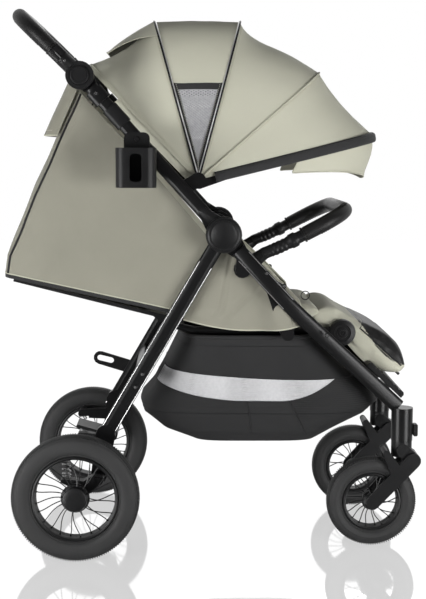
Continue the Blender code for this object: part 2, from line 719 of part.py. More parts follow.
def brake_pedal():
    """Sleeve on the lower bar with a foot pedal that reaches backwards."""
    path = [at(LOWER_BAR, -BRAKE_HALF_WIDTH), at(LOWER_BAR, BRAKE_HALF_WIDTH)]
    collar = sleeve(path, circle_section(LOWER_BAR_RADIUS + BRAKE_WALL, 16),
                    circle_section(LOWER_BAR_RADIUS + GAP, 16), (0.0, 0.0, 1.0))
    root = (LOWER_BAR[0] - LOWER_BAR_RADIUS - 0.6 * BRAKE_WALL, LOWER_BAR[1] + 0.4 * BRAKE_WALL)
    toe = (LOWER_BAR[0] - BRAKE_REACH, LOWER_BAR[1] + BRAKE_RISE)
    half = 0.8 * BRAKE_HALF_WIDTH
    pedal = plate(strap(root, toe, 0.5 * BRAKE_WALL, 0.8 * BRAKE_WALL), -half, half)
    return fuse(collar, pedal)


def fold_catch():
    """Flat hook plate with an oval slot on the outer face of the left rear leg."""
    tip = (CATCH_PIVOT[0] - CATCH_BACK, CATCH_PIVOT[1] + CATCH_RISE)
    y_low = REAR_LEG_OUTER + GAP
    body = plate(strap(CATCH_PIVOT, tip, CATCH_RADIUS, CATCH_RADIUS), y_low, y_low + CATCH_THICKNESS)
    slot_root = (tip[0] + 0.33 * CATCH_BACK, tip[1] - 0.26 * CATCH_RISE)
    slot = plate(strap(slot_root, tip, CATCH_SLOT_RADIUS, CATCH_SLOT_RADIUS),
                 y_low - CUT_MARGIN, y_low + 2 * CUT_MARGIN)
    return carve(body, slot)


def swing_arm(side):
    """Arm from the suspension pivot to the wheel, with the lower spring seat."""
    layer = layered(side, SWING_INNER, SWING_OUTER)
    arm = plate(strap(SWING_PIVOT, REAR_AXLE, SWING_EYE_RADIUS, SWING_EYE_RADIUS + SINK / 2), *layer)
    seat_z = SPRING_TOP_Z - SPRING_LENGTH
    tray_low = seat_z - SPRING_HORN
    left = SPRING_SEAT_X - TRAY_REACH
    tray = plate([(left, tray_low), (TRAY_REACH, REAR_AXLE_Z), (SWING_PIVOT[0] - SWING_EYE_RADIUS, tray_low),
                  (SPRING_SEAT_X + TRAY_REACH, seat_z), (left, seat_z)], *layer)
    stub_end = REAR_WHEEL_Y + REAR_TYRE_WIDTH / 2 - SPRING_HORN
    stub = disc(REAR_AXLE, PIN_RADIUS, *layered(side, SWING_OUTER - SINK, stub_end), segments=16)
    bore = disc(SWING_PIVOT, PIN_RADIUS + GAP, layer[0] - CUT_MARGIN, layer[1] + CUT_MARGIN, segments=16)
    return carve(fuse(arm, tray, stub), bore)


def spring_path(side):
    """One unbroken wire: a straight end, the curls, and a straight end."""
    bottom = SPRING_TOP_Z - SPRING_LENGTH + GAP
    top = SPRING_TOP_Z - GAP
    straight = 2 * WIRE_RADIUS
    total = CURLS * CURL_POINTS
    climb = (top - bottom - 2 * straight) / total
    points = [Vector((SPRING_SEAT_X, side * SPRING_Y, bottom))]
    ease = CURL_POINTS / 2
    for index in range(total + 1):
        reach = COIL_RADIUS * min(1.0, index / ease, (total - index) / ease)
        angle = 2.0 * math.pi * index / CURL_POINTS
        points.append(Vector((SPRING_SEAT_X + reach * math.cos(angle),
                              side * SPRING_Y + reach * math.sin(angle), bottom + straight + climb * index)))
    points.append(Vector((SPRING_SEAT_X, side * SPRING_Y, top)))
    return points


def least_self_gap(path):
    """Smallest free distance between two stretches of the wire that are not neighbours."""
    apart = CURL_POINTS // 2
    least = min((path[i] - path[j]).length for i in range(len(path)) for j in range(i + apart, len(path)))
    return least - 2 * WIRE_RADIUS


def rear_spring(side):
    path = spring_path(side)
    print("rear spring least self gap, mm:", round(1000 * least_self_gap(path), 2))
    return bar(path, circle_section(WIRE_RADIUS, 5), (1.0, 0.0, 0.0))


def tyre(centre, wheel_y, side, radius, bore, width):
    half = width / 2
    crown = 0.45 * half
    profile = [(radius, -crown), (radius, crown), (radius - 0.20 * width, half), (bore + 0.22 * width, half),
               (bore, 0.6 * half), (bore, -0.6 * half), (bore + 0.22 * width, -half),
               (radius - 0.20 * width, -half)]
    profile = [(reach, wheel_y + y) for reach, y in profile]
    return turned(profile, centre, side, WHEEL_SEGMENTS, phase=-90.0 + 180.0 / WHEEL_SEGMENTS)


def rim(centre, wheel_y, side, rim_radius, hub_radius, spokes, width, bore_radius, through):
    """Outer band, hub and curved wire spokes."""
    half = width / 2
    band = [(rim_radius, -0.55 * half), (rim_radius, 0.55 * half), (rim_radius - RIM_DEPTH, 0.5 * half),
            (rim_radius - RIM_DEPTH, -0.5 * half)]
    band = [(reach, wheel_y + y) for reach, y in band]
    ring = turned(band, centre, side, WHEEL_SEGMENTS, phase=-90.0 + 180.0 / WHEEL_SEGMENTS)
    hub_low = wheel_y - half + RUNNING_GAP
    hub_high = wheel_y + half + RUNNING_GAP
    hub = disc(centre, hub_radius, *layered(side, hub_low, hub_high), segments=20)
    wires = []
    for index in range(spokes):
        turn = 360.0 * index / spokes
        lean = 9.0 if index % 2 else -9.0
        shift = (0.35 if index % 2 else -0.35) * half
        path = []
        for step in range(4):
            share = step / 3
            reach = hub_radius + share * (rim_radius - hub_radius) - RIM_DEPTH / 2
            bend = lean * math.sin(math.pi * share * 0.5)
            path.append(at(polar(centre, turn + bend, reach), side * (wheel_y + shift * (1 - share))))
        wires.append(bar(path, circle_section(SPOKE_RADIUS, 4)))
    depth = hub_high + CUT_MARGIN if through else hub_high - AXLE_BLIND_DEPTH
    bore = disc(centre, bore_radius, *layered(side, hub_low - CUT_MARGIN, depth), segments=16)
    return carve(fuse(together([ring, hub]), together(wires)), bore)


def caster_head(side):
    """Turning head under the housing, with the lobe that carries the fork."""
    top = HOUSING_BOTTOM - RUNNING_GAP / 2
    drum = caster_tube(side, HEAD_RADIUS, FORK_BOLT[1] + BOLT_RADIUS + SINK / 2, top)
    half = FRONT_TYRE_WIDTH / 2 + FORK_TYRE_GAP - 2 * GAP
    lobe_y = layered(side, FRONT_WHEEL_Y - half, FRONT_WHEEL_Y + half)
    lobe_root = (CASTER_X, FORK_BOLT[1] + HEAD_LOBE_RISE)
    lobe = plate(strap(FORK_BOLT, lobe_root, HEAD_LOBE_RADIUS, 0.85 * HEAD_LOBE_RADIUS), *lobe_y)
    bore = disc(FORK_BOLT, BOLT_RADIUS + GAP, lobe_y[0] - CUT_MARGIN, lobe_y[1] + CUT_MARGIN, segments=12)
    return carve(fuse(drum, lobe), bore)


def swivel_lock(side):
    """Small slider on the front of the housing."""
    front = CASTER_X + HOUSING_RADIUS
    y_low, y_high = layered(side, FRONT_WHEEL_Y - LOCK_WIDTH / 2, FRONT_WHEEL_Y + LOCK_WIDTH / 2)
    bottom = HOUSING_BOTTOM + LOCK_RISE
    outline = rounded_box(front + 2 * GAP, front + LOCK_DEPTH, bottom, bottom + LOCK_HEIGHT,
                          LOCK_RISE / 3, 3)
    return plate(outline, y_low, y_high)


def front_fork(side):
    """Two arms joined by the bolt, the axle and a bridge over the tyre."""
    inner = FRONT_TYRE_WIDTH / 2 + FORK_TYRE_GAP
    reach = inner + FORK_ARM_THICKNESS
    arm = strap(FORK_BOLT, FRONT_AXLE, FORK_ARM_WIDTH / 2 + SINK / 2, FORK_ARM_WIDTH / 2)
    bridge_at = (FRONT_AXLE[0] + FORK_BRIDGE_AHEAD, FRONT_AXLE_Z + FRONT_WHEEL_RADIUS + FORK_BRIDGE_GAP)
    web_root = (FORK_BOLT[0] + 0.40 * (FRONT_AXLE[0] - FORK_BOLT[0]),
                FORK_BOLT[1] + 0.28 * (FRONT_AXLE_Z - FORK_BOLT[1]))
    web = strap(bridge_at, web_root, FORK_WEB_RADIUS, 2 * FORK_WEB_RADIUS)
    plates = []
    for hand in (-1.0, 1.0):
        near = side * FRONT_WHEEL_Y + hand * inner
        far = side * FRONT_WHEEL_Y + hand * reach
        for outline in (arm, web):
            plates.append(plate(outline, min(near, far), max(near, far)))
    ends = layered(side, FRONT_WHEEL_Y - reach + RUNNING_GAP, FRONT_WHEEL_Y + reach - RUNNING_GAP)
    bolt = disc(FORK_BOLT, BOLT_RADIUS, *ends, segments=12)
    axle = disc(FRONT_AXLE, AXLE_RADIUS, *ends, segments=12)
    bridge = disc(bridge_at, FORK_BRIDGE_RADIUS, *ends, segments=12)
    return fuse(plates[0], plates[1], bolt, axle, bridge, plates[3], plates[2])


def hoop_height(reach, degrees):
    """Distance of a rib's point from the pivot line; the power makes the rib squarish."""
    return reach * math.sin(math.radians(degrees)) ** 0.62


def hoop(angle, reach, inset, count=13, lead=0.0, first=BOW_START):
    """Points of a canopy rib, from one pivot over the top to the other; lead shifts it sideways."""
    points = []
    for index in range(count):
        degrees = first + (180.0 - 2 * first) * index / (count - 1)
        cosine = math.cos(math.radians(degrees))
        across = -(CANOPY_HALF_WIDTH - inset) * math.copysign(abs(cosine) ** 0.55, cosine)
        height = hoop_height(reach - inset, degrees)
        points.append(at(beside(polar(CANOPY_PIVOT, angle, height), angle, lead), across))
    return points


def canopy_section(low, high, low_reach, high_reach, steps=4):
    """Cloth between two ribs, drawn in a little between them."""
    front = []
    back = []
    for index in range(steps + 1):
        share = index / steps
        angle = low + (high - low) * share
        reach = low_reach + (high_reach - low_reach) * share
        dip = CANOPY_SAG * 4 * share * (1 - share)
        lead = GAP * (1 - 2 * share)
        front.append(hoop(angle, reach - dip, 0.0, lead=lead, first=SECTION_START))
        back.append(hoop(angle, reach - dip, FABRIC, lead=lead, first=SECTION_START))
    return sheet(front, back)


def canopy_bow():
    """Front bow with a hub disc at each end."""
    lead = -BOW_RADIUS - 2 * GAP
    rib = bar(hoop(BOW_ANGLE, BOW_REACH + SINK, SINK, 17, lead), circle_section(BOW_RADIUS, 8),
              handle_normal(BOW_ANGLE))
    hubs = []
    arm_reach = hoop_height(BOW_REACH, BOW_START) + BOW_OVERLAP
    arm_end = beside(polar(CANOPY_PIVOT, BOW_ANGLE, arm_reach), BOW_ANGLE, lead)
    hub_inner = CANOPY_HALF_WIDTH - CANOPY_HUB_INSET
    for side in (-1.0, 1.0):
        hub_y = layered(side, hub_inner, hub_inner + CANOPY_HUB_THICKNESS)
        arm = plate(strap(CANOPY_PIVOT, arm_end, CANOPY_HUB_RADIUS, BOW_RADIUS), *hub_y)
        bore = disc(CANOPY_PIVOT, AXLE_RADIUS + GAP, hub_y[0] - CUT_MARGIN, hub_y[1] + CUT_MARGIN,
                    segments=12)
        hubs.append(carve(arm, bore))
    return fuse(rib, *hubs)


def visor():
    """Brim that hangs below the front bow."""
    front = []
    back = []
    lead = -2 * BOW_RADIUS - 5 * GAP
    for turn, drop in ((0.0, 0.0), (VISOR_MIDDLE, VISOR_MIDDLE_DROP), (VISOR_EDGE, VISOR_EDGE_DROP)):
        angle = BOW_ANGLE - turn
        reach = BOW_REACH + VISOR_INSET - drop
        front.append(hoop(angle, reach, VISOR_INSET, 17, lead)[3:-3])
        back.append(hoop(angle, reach, VISOR_INSET + FABRIC, 17, lead)[3:-3])
    return sheet(front, back)


def seat_frame():
    """Closed loop of tube under the seat with a stub to each front leg."""
    section = circle_section(SEAT_TUBE_RADIUS, 10)
    front = LEGREST_PIVOT
    rear = RECLINE_PIVOT
    rails = []
    for side in (-1.0, 1.0):
        y = side * SEAT_RAIL_Y
        rails.append(bar([at(rear, y), at((SEAT_RAIL_BEND_X, SEAT_TUBE_Z), y), at(front, y)], section))
        stub_point = (SEAT_STUB_X, SEAT_TUBE_Z)
        stub = [at(stub_point, y), at(stub_point, side * (REAR_LEG_INNER - GAP))]
        rails.append(bar(stub, section, (0.0, 0.0, 1.0)))
    half = SEAT_RAIL_Y + SEAT_TUBE_RADIUS
    cross_front = bar([at(front, -half), at(front, half)], section, (0.0, 0.0, 1.0))
    cross_rear = bar([at(rear, -half), at(rear, half)], section, (0.0, 0.0, 1.0))
    return fuse(cross_front, rails[0], cross_rear, rails[1], rails[2], rails[3])


def cushion(spine, thickness, half_width, across=9, channel=0.0):
    """Pad on a line of (x, z) points: crowned top, drawn-in sides and sewn channels across."""
    top = []
    base = []
    for row, point in enumerate(spine):
        ahead = spine[min(row + 1, len(spine) - 1)]
        behind = spine[max(row - 1, 0)]
        degrees = math.degrees(math.atan2(ahead[1] - behind[1], ahead[0] - behind[0]))
        end_share = 2 * row / (len(spine) - 1) - 1
        crown_along = max(0.0, 1 - abs(end_share) ** 5) ** 0.5
        groove = channel if row % 3 == 2 and 0 < row < len(spine) - 1 else 0.0
        top_row = []
        base_row = []
        for column in range(across):
            share = 2 * column / (across - 1) - 1
            crown_across = max(0.0, 1 - abs(share) ** 5) ** 0.5
            height = thickness * (0.30 + 0.70 * min(crown_along, crown_across)) - groove
            width = half_width * (1 - 0.02 * (1 - crown_along))
            lift = thickness * 0.22 * (1 - crown_across)
            top_row.append(at(beside(point, degrees, height), width * share))
            base_row.append(at(beside(point, degrees, min(lift, thickness * 0.2)), width * share))
        top.append(top_row)
        base.append(base_row)
    return sheet(top, base)


def spread(points, count):
    """Even points along a line of corners."""
    lengths = [math.dist(a, b) for a, b in zip(points, points[1:])]
    total = sum(lengths)
    result = []
    for index in range(count):
        left = total * index / (count - 1)
        for start, end, length in zip(points, points[1:], lengths):
            if left <= length + 1e-9:
                break
            left -= length
        share = min(1.0, left / length)
        result.append((start[0] + (end[0] - start[0]) * share, start[1] + (end[1] - start[1]) * share))
    return result


def seat_pad():
    middle = (SEAT_REAR_X + SEAT_FRONT_X) / 2
    corners = [(SEAT_REAR_X, SEAT_BASE_Z), (middle, SEAT_BASE_Z - SEAT_SAG),
               (SEAT_FRONT_X, SEAT_BASE_Z + SEAT_FRONT_RISE)]
    return cushion(spread(corners, 10), SEAT_THICKNESS, SEAT_HALF_WIDTH, channel=SEAM_DEPTH)


def seat_wings():
    """Side panels of the seat, joined by a strip of cloth under the pad."""
    shares = ((0.47, 1.0), (0.96, 0.29), (1.0, 0.09), (0.90, 0.0), (0.28, 0.0), (0.0, 0.05),
              (0.11, 0.35), (0.28, 0.72), (0.37, 0.89))
    outline = [(WING_REAR_X + WING_LENGTH * along, WING_BOTTOM_Z + WING_HEIGHT * up) for along, up in shares]
    sides = [plate(outline, *layered(side, WING_INNER, WING_INNER + WING_THICKNESS)) for side in (-1.0, 1.0)]
    top = SEAT_BASE_Z - WING_STRIP_DROP
    low = top - 0.8 * FABRIC
    rear = WING_REAR_X + 0.30 * WING_LENGTH
    front = WING_REAR_X + 0.87 * WING_LENGTH
    reach = WING_INNER + SINK
    strip = plate([(rear, low), (front, low), (front, top), (rear, top)], -reach, reach)
    return fuse(sides[0], strip, sides[1])


def basket_ring(rear, front, half_width, z, inset, ripple, count=32):
    points = []
    middle = (rear + front) / 2
    reach = (front - rear) / 2 - inset
    width = half_width - inset
    for index in range(count):
        angle = 2.0 * math.pi * (index + 0.5) / count
        cosine = math.cos(angle)
        sine = math.sin(angle)
        fold = 1 - ripple * (0.5 + 0.5 * math.cos(8 * angle))
        x = middle + reach * fold * math.copysign(abs(cosine) ** 0.5, cosine)
        y = width * fold * math.copysign(abs(sine) ** 0.5, sine)
        points.append(Vector((x, y, z)))
    return points


def basket():
    """Open cloth tub hung between the legs."""
    shares = ((0.0, 0.578, -0.069, 1.0, 0.0), (0.270, 0.755, -0.041, 0.922, 0.012),
              (0.530, 0.926, -0.010, 0.844, 0.022), (0.678, 1.0, 0.0, 0.789, 0.026),
              (0.778, 0.926, -0.025, 0.770, 0.024), (0.900, 0.739, -0.072, 0.744, 0.020),
              (1.0, 0.525, -0.043, 0.656, 0.0))
    levels = []
    for down, length, shift, width, ripple in shares:
        middle = BASKET_CENTRE_X + BASKET_LENGTH * shift
        reach = BASKET_LENGTH * length / 2
        levels.append((middle - reach, middle + reach, BASKET_HALF_WIDTH * width,
                       BASKET_TOP_Z - BASKET_DEPTH * down, ripple))
    outer = [basket_ring(rear, front, width, z, 0.0, ripple) for rear, front, width, z, ripple in levels]
    inner = []
    for rear, front, width, z, ripple in levels[:-1]:
        inner.append(basket_ring(rear, front, width, z, BASKET_WALL, ripple))
    rear, front, width, z, ripple = levels[-1]
    floor = basket_ring(rear, front, width, z + BASKET_WALL, BASKET_WALL, ripple)
    return loft(outer[::-1] + inner + [floor])


def footplate():
    """Ribbed step that lies across both front legs."""
    slope = FRONT_LOWER_ANGLE
    start = polar(FRONT_BEND, slope, FOOTPLATE_START)
    base = beside(start, slope, 1.02 * FRONT_LEG_WIDTH / 2 + 4 * GAP)
    end = polar(base, slope, FOOTPLATE_LENGTH)
    outline = [base, end, beside(end, slope, FOOTPLATE_THICKNESS)]
    pitch = FOOTPLATE_LENGTH / FOOTPLATE_RIBS
    crest = FOOTPLATE_THICKNESS + FOOTPLATE_RIB
    for index in range(FOOTPLATE_RIBS):
        reach = FOOTPLATE_LENGTH - pitch * (index + 0.5)
        for share, height in ((0.26, crest), (-0.20, crest), (-0.40, crest - 0.75 * FOOTPLATE_RIB)):
            outline.append(beside(polar(base, slope, reach + share * pitch), slope, height))
    outline.append(beside(base, slope, FOOTPLATE_THICKNESS))
    middle = polar(start, slope, FOOTPLATE_LENGTH / 2)
    half = front_leg_y(middle[0])
    return plate(outline, -half, half)


def bumper_arm():
    """Elbow and socket of the bumper bar, measured from its pivot."""
    return [(BUMPER_PIVOT[0] + x, BUMPER_PIVOT[1] + z) for x, z in (BUMPER_ELBOW, BUMPER_SOCKET)]


def bumper_path(count=6):
    """Route of the bumper bar: a rising arm, a round corner and the front."""
    elbow, socket = bumper_arm()
    points = [at(elbow, BUMPER_Y), at(socket, BUMPER_Y)]
    for index in range(count):
        angle = math.radians(90.0 * index / (count - 1))
        reach = BUMPER_REACH - BUMPER_CORNER + BUMPER_CORNER * math.sin(angle)
        across = BUMPER_Y - BUMPER_CORNER + BUMPER_CORNER * math.cos(angle)
        points.append(at(polar(socket, BUMPER_RISE, reach), across))
    return points + [Vector((point.x, -point.y, point.z)) for point in reversed(points)]


def bumper_bar():
    """Tube with a lug plate and a ribbed socket at each end."""
    tube = bar(bumper_path(), circle_section(BUMPER_TUBE_RADIUS, 8), handle_normal(BUMPER_RISE))
    elbow, socket = bumper_arm()
    lug_end = (elbow[0] + 0.1 * (socket[0] - elbow[0]), elbow[1] + 0.1 * (socket[1] - elbow[1]))
    lugs = []
    for side in (-1.0, 1.0):
        lug_y = layered(side, REAR_LEG_INNER + FACE_GAP, FRAME_INNER - 5 * FACE_GAP)
        lug = plate(strap(BUMPER_PIVOT, lug_end, BUMPER_LUG_RADIUS, 1.2 * BUMPER_TUBE_RADIUS), *lug_y)
        bore = disc(BUMPER_PIVOT, AXLE_RADIUS + GAP, lug_y[0] - CUT_MARGIN, lug_y[1] + CUT_MARGIN,
                    segments=12)
        lugs.append(carve(lug, bore))
    return fuse(tube, *lugs)


def bumper_grip():
    return sleeve(bumper_path()[2:-2], circle_section(BUMPER_GRIP_RADIUS, 8),
                  circle_section(BUMPER_TUBE_RADIUS + GAP, 8), handle_normal(BUMPER_RISE))


def rest_lugs(pivot, end, y, end_radius):
    """Two lugs that hold a board on a cross tube of the seat frame."""
    outline = strap(pivot, end, REST_LUG_RADIUS, end_radius)
    low = y - REST_LUG_WIDTH / 2
    return [plate(outline, *layered(side, low, low + REST_LUG_WIDTH)) for side in (-1.0, 1.0)]


def seat_tube_bore(pivot):
    return disc(pivot, SEAT_TUBE_RADIUS + GAP, -SEAT_RAIL_Y, SEAT_RAIL_Y, segments=16)


def legrest_frame():
    """Thin board with two lugs round the front seat tube."""
    root = polar(LEGREST_PIVOT, LEGREST_ANGLE, LEGREST_BOARD_INSET)
    base = beside(root, LEGREST_ANGLE, SEAT_TUBE_RADIUS + SINK / 2)
    end = polar(base, LEGREST_ANGLE, LEGREST_BOARD_LENGTH)
    outline = [base, end, beside(end, LEGREST_ANGLE, LEGREST_BOARD_THICKNESS),
               beside(base, LEGREST_ANGLE, LEGREST_BOARD_THICKNESS)]
    board = plate(outline, -LEGREST_BOARD_HALF_WIDTH, LEGREST_BOARD_HALF_WIDTH)
    lug_end = polar(LEGREST_PIVOT, LEGREST_ANGLE + 12.0, 3 * REST_LUG_RADIUS)
    lugs = rest_lugs(LEGREST_PIVOT, lug_end, LEGREST_LUG_Y, LEGREST_BOARD_THICKNESS)
    return carve(fuse(board, *lugs), seat_tube_bore(LEGREST_PIVOT))


def legrest_pad():
    lift = SEAT_TUBE_RADIUS + SINK / 2 + LEGREST_BOARD_THICKNESS + FACE_GAP
    start = beside(polar(LEGREST_PIVOT, LEGREST_ANGLE, LEGREST_BOARD_INSET + SINK / 2), LEGREST_ANGLE, lift)
    end = polar(start, LEGREST_ANGLE, LEGREST_PAD_LENGTH)
    return cushion(spread([start, end], 7), LEGREST_PAD_THICKNESS, LEGREST_PAD_HALF_WIDTH)


BOARD_BASE = beside(polar(RECLINE_PIVOT, BACK_ANGLE, BOARD_INSET), BACK_ANGLE, -SEAT_TUBE_RADIUS - SINK / 2)


def backrest_board():
    """Stiff panel behind the backrest with two lugs round the rear seat tube."""
    end = polar(BOARD_BASE, BACK_ANGLE, BACK_LENGTH - BOARD_INSET)
    outline = [BOARD_BASE, end, beside(end, BACK_ANGLE, -BOARD_THICKNESS * 0.6),
               beside(polar(BOARD_BASE, BACK_ANGLE, 3 * REST_LUG_RADIUS), BACK_ANGLE, -BOARD_THICKNESS),
               beside(BOARD_BASE, BACK_ANGLE, -BOARD_THICKNESS)]
    board = plate(outline, -SEAT_HALF_WIDTH, SEAT_HALF_WIDTH)
    lug_end = polar(RECLINE_PIVOT, BACK_ANGLE - 16.0, 2.7 * REST_LUG_RADIUS)
    lugs = rest_lugs(RECLINE_PIVOT, lug_end, BACK_LUG_Y, 0.8 * BOARD_THICKNESS)
    return carve(fuse(board, *lugs), seat_tube_bore(RECLINE_PIVOT))


def backrest_pad():
    start = beside(polar(BOARD_BASE, BACK_ANGLE, BACK_PAD_START), BACK_ANGLE, -BOARD_THICKNESS - 2 * GAP)
    end = polar(start, BACK_ANGLE, BACK_PAD_LENGTH)
    return cushion(spread([end, start], 10), BACK_PAD_THICKNESS, SEAT_HALF_WIDTH - FABRIC,
                   channel=SEAM_DEPTH)


def back_shell():
    """Cloth walls round the reclined backrest: two sides and the back, open to the front and below."""
    shares = ((0.803, 0.0), (0.023, 0.178), (0.0, 0.224), (0.172, 0.615), (0.308, 1.0), (0.385, 0.970),
              (1.0, 0.317), (0.864, 0.083))
    outline = []
    for along, up in shares:
        outline.append((SHELL_REAR_X + SHELL_LENGTH * along, SHELL_BOTTOM_Z + SHELL_HEIGHT * up))
    shell = plate(outline, -SHELL_HALF_WIDTH, SHELL_HALF_WIDTH)
    wall = 2 * FABRIC
    rear = [(x + wall, z) for x, z in outline[1:5]]
    below = (rear[0][0], SHELL_BOTTOM_Z - CUT_MARGIN)
    above = (rear[-1][0] + 2 * CUT_MARGIN, rear[-1][1] + 3 * CUT_MARGIN)
    front = SHELL_REAR_X + SHELL_LENGTH + CUT_MARGIN
    core_outline = [(front, below[1]), below] + rear[1:] + [above, (front, above[1])]
    inner = SHELL_HALF_WIDTH - FABRIC
    core = plate(core_outline, -inner, inner)
    return carve(shell, core)


CUP_CLIP = polar(HINGE, PUSH_ANGLE,
                 PUSH_LENGTH - TRIGGER_DROP - TRIGGER_LENGTH - CUP_CLIP_RADIUS - CUP_CLIP_CLEARANCE)
CUP_BACK_Y = -(FRAME_OUTER + CUP_STANDOFF + GAP)


def cup_clip():
    """Clip on the outer face of the right push tube with a pin for the cup holder."""
    inner = FRAME_OUTER + GAP
    outer = FRAME_OUTER + CUP_STANDOFF
    body = disc(CUP_CLIP, CUP_CLIP_RADIUS, -outer, -inner, segments=20)
    pin = disc(CUP_CLIP, AXLE_RADIUS, -outer - 2 * CUP_WALL, -outer + SINK / 2, segments=12)
    return fuse(body, pin)


def cup_holder():
    """Square cup with a tall back plate and a window in its front."""
    left = CUP_CLIP[0] - CUP_WIDTH / 2
    right = CUP_CLIP[0] + CUP_WIDTH / 2
    top = CUP_CLIP[1] - CUP_TOP_DROP
    bottom = top - CUP_HEIGHT
    front_y = CUP_BACK_Y - CUP_DEPTH

    def column(inset, low, high):
        outline = rounded_box(left + inset, right - inset, front_y + inset, CUP_BACK_Y - inset,
                              CUP_CORNER - inset, 4)
        return loft([[Vector((x, y, z)) for x, y in outline] for z in (low, high)])

    cup = column(0.0, bottom, top)
    back_top = top + CUP_TOP_DROP + CUP_CLIP_RADIUS + CUP_WALL / 2
    back_outline = rounded_box(left + CUP_BACK_INSET, right - CUP_BACK_INSET, top - 2 * CUP_BACK_INSET,
                               back_top, CUP_CLIP_RADIUS, 5)
    back = plate(back_outline, CUP_BACK_Y - CUP_WALL, CUP_BACK_Y)
    bore = disc(CUP_CLIP, AXLE_RADIUS + GAP, CUP_BACK_Y - CUT_MARGIN, CUP_BACK_Y + CUT_MARGIN, segments=12)
    middle = (left + right) / 2
    half = CUP_WINDOW_HALF_WIDTH
    window = plate(rounded_box(middle - half, middle + half, bottom + half, top - half, 0.66 * half, 4),
                   front_y - CUT_MARGIN, front_y + CUT_MARGIN)
    hollow = column(CUP_WALL, bottom + CUP_WALL, top + CUT_MARGIN)
    return carve(fuse(carve(cup, hollow), back), bore, window)


def build_pairs():
    for name, side in SIDES:
        finish(front_leg(side), "front_leg_" + name, BLACK_METAL)
        finish(main_hinge(side), "main_hinge_" + name, BLACK_PLASTIC, at(HINGE, 0.0))
        finish(push_tube(side), "push_tube_" + name, BLACK_METAL, at(HINGE, 0.0))
        finish(handle_knuckle(side), "handle_knuckle_" + name, BLACK_PLASTIC, at(HANDLE_JOINT, 0.0))
        finish(handle_button(side), "handle_button_" + name, BLACK_PLASTIC,
               at(HANDLE_JOINT, side * FRAME_OUTER))
        finish(fold_trigger(side), "fold_trigger_" + name, BLACK_PLASTIC, at(HINGE, side * FRAME_MIDDLE))
        finish(rear_leg(side), "rear_leg_" + name, BLACK_METAL, at(HINGE, 0.0))
        finish(swing_arm(side), "swing_arm_" + name, BLACK_PLASTIC, at(SWING_PIVOT, side * SWING_INNER))
        finish(rear_spring(side), "rear_spring_" + name, SPRING_STEEL, at(SWING_PIVOT, side * SPRING_Y))
        rear_hub = at(REAR_AXLE, side * REAR_WHEEL_Y)
        rear_tyre = tyre(REAR_AXLE, REAR_WHEEL_Y, side, REAR_WHEEL_RADIUS, REAR_RIM_RADIUS + GAP,
                         REAR_TYRE_WIDTH)
        finish(rear_tyre, "rear_tyre_" + name, RUBBER, rear_hub)
        rear_rim = rim(REAR_AXLE, REAR_WHEEL_Y, side, REAR_RIM_RADIUS, REAR_HUB_RADIUS, REAR_SPOKES,
                       REAR_TYRE_WIDTH - 4 * RUNNING_GAP, PIN_RADIUS + GAP, False)
        finish(rear_rim, "rear_rim_" + name, BLACK_PLASTIC, rear_hub)
        caster = Vector((CASTER_X, side * FRONT_WHEEL_Y, HOUSING_BOTTOM))
        finish(caster_head(side), "caster_head_" + name, BLACK_PLASTIC, caster)
        finish(swivel_lock(side), "swivel_lock_" + name, BLACK_PLASTIC, caster)
        finish(front_fork(side), "front_fork_" + name, BLACK_PLASTIC, at(FORK_BOLT, side * FRONT_WHEEL_Y))
        front_hub = at(FRONT_AXLE, side * FRONT_WHEEL_Y)
        front_tyre = tyre(FRONT_AXLE, FRONT_WHEEL_Y, side, FRONT_WHEEL_RADIUS, FRONT_RIM_RADIUS + GAP,
                          FRONT_TYRE_WIDTH)
        finish(front_tyre, "front_tyre_" + name, RUBBER, front_hub)
        front_rim = rim(FRONT_AXLE, FRONT_WHEEL_Y, side, FRONT_RIM_RADIUS, FRONT_HUB_RADIUS, FRONT_SPOKES,
                        FRONT_TYRE_WIDTH - 2 * RUNNING_GAP, AXLE_RADIUS + GAP, True)
        finish(front_rim, "front_rim_" + name, BLACK_PLASTIC, front_hub)


def build_frame_parts():
    finish(seat_frame(), "seat_frame", BLACK_METAL)
    finish(footplate(), "footplate", BLACK_PLASTIC)
    finish(rear_crossbar(), "rear_crossbar", BLACK_METAL, at(HINGE, 0.0))
    finish(rear_axle(), "rear_axle", BLACK_METAL, at(HINGE, 0.0))
    finish(brake_pedal(), "brake_pedal", BLACK_PLASTIC, at(LOWER_BAR, 0.0))
    finish(fold_catch(), "fold_catch", BLACK_PLASTIC,
           at(CATCH_PIVOT, REAR_LEG_OUTER))
    finish(handlebar(), "handlebar", BLACK_METAL, at(HANDLE_JOINT, 0.0))
    finish(handlebar_grip(), "handlebar_grip", LEATHER, at(HANDLE_JOINT, 0.0))
    finish(bumper_bar(), "bumper_bar", BLACK_PLASTIC, at(BUMPER_PIVOT, 0.0))
    finish(bumper_grip(), "bumper_grip", LEATHER, at(BUMPER_PIVOT, 0.0))
    finish(cup_clip(), "cup_clip", BLACK_PLASTIC, at(HINGE, 0.0))
    finish(cup_holder(), "cup_holder", BLACK_PLASTIC, at(CUP_CLIP, -FRAME_OUTER))
    finish(legrest_frame(), "legrest_frame", BLACK_PLASTIC, at(LEGREST_PIVOT, 0.0))
    finish(backrest_board(), "backrest_board", BLACK_PLASTIC, at(RECLINE_PIVOT, 0.0))


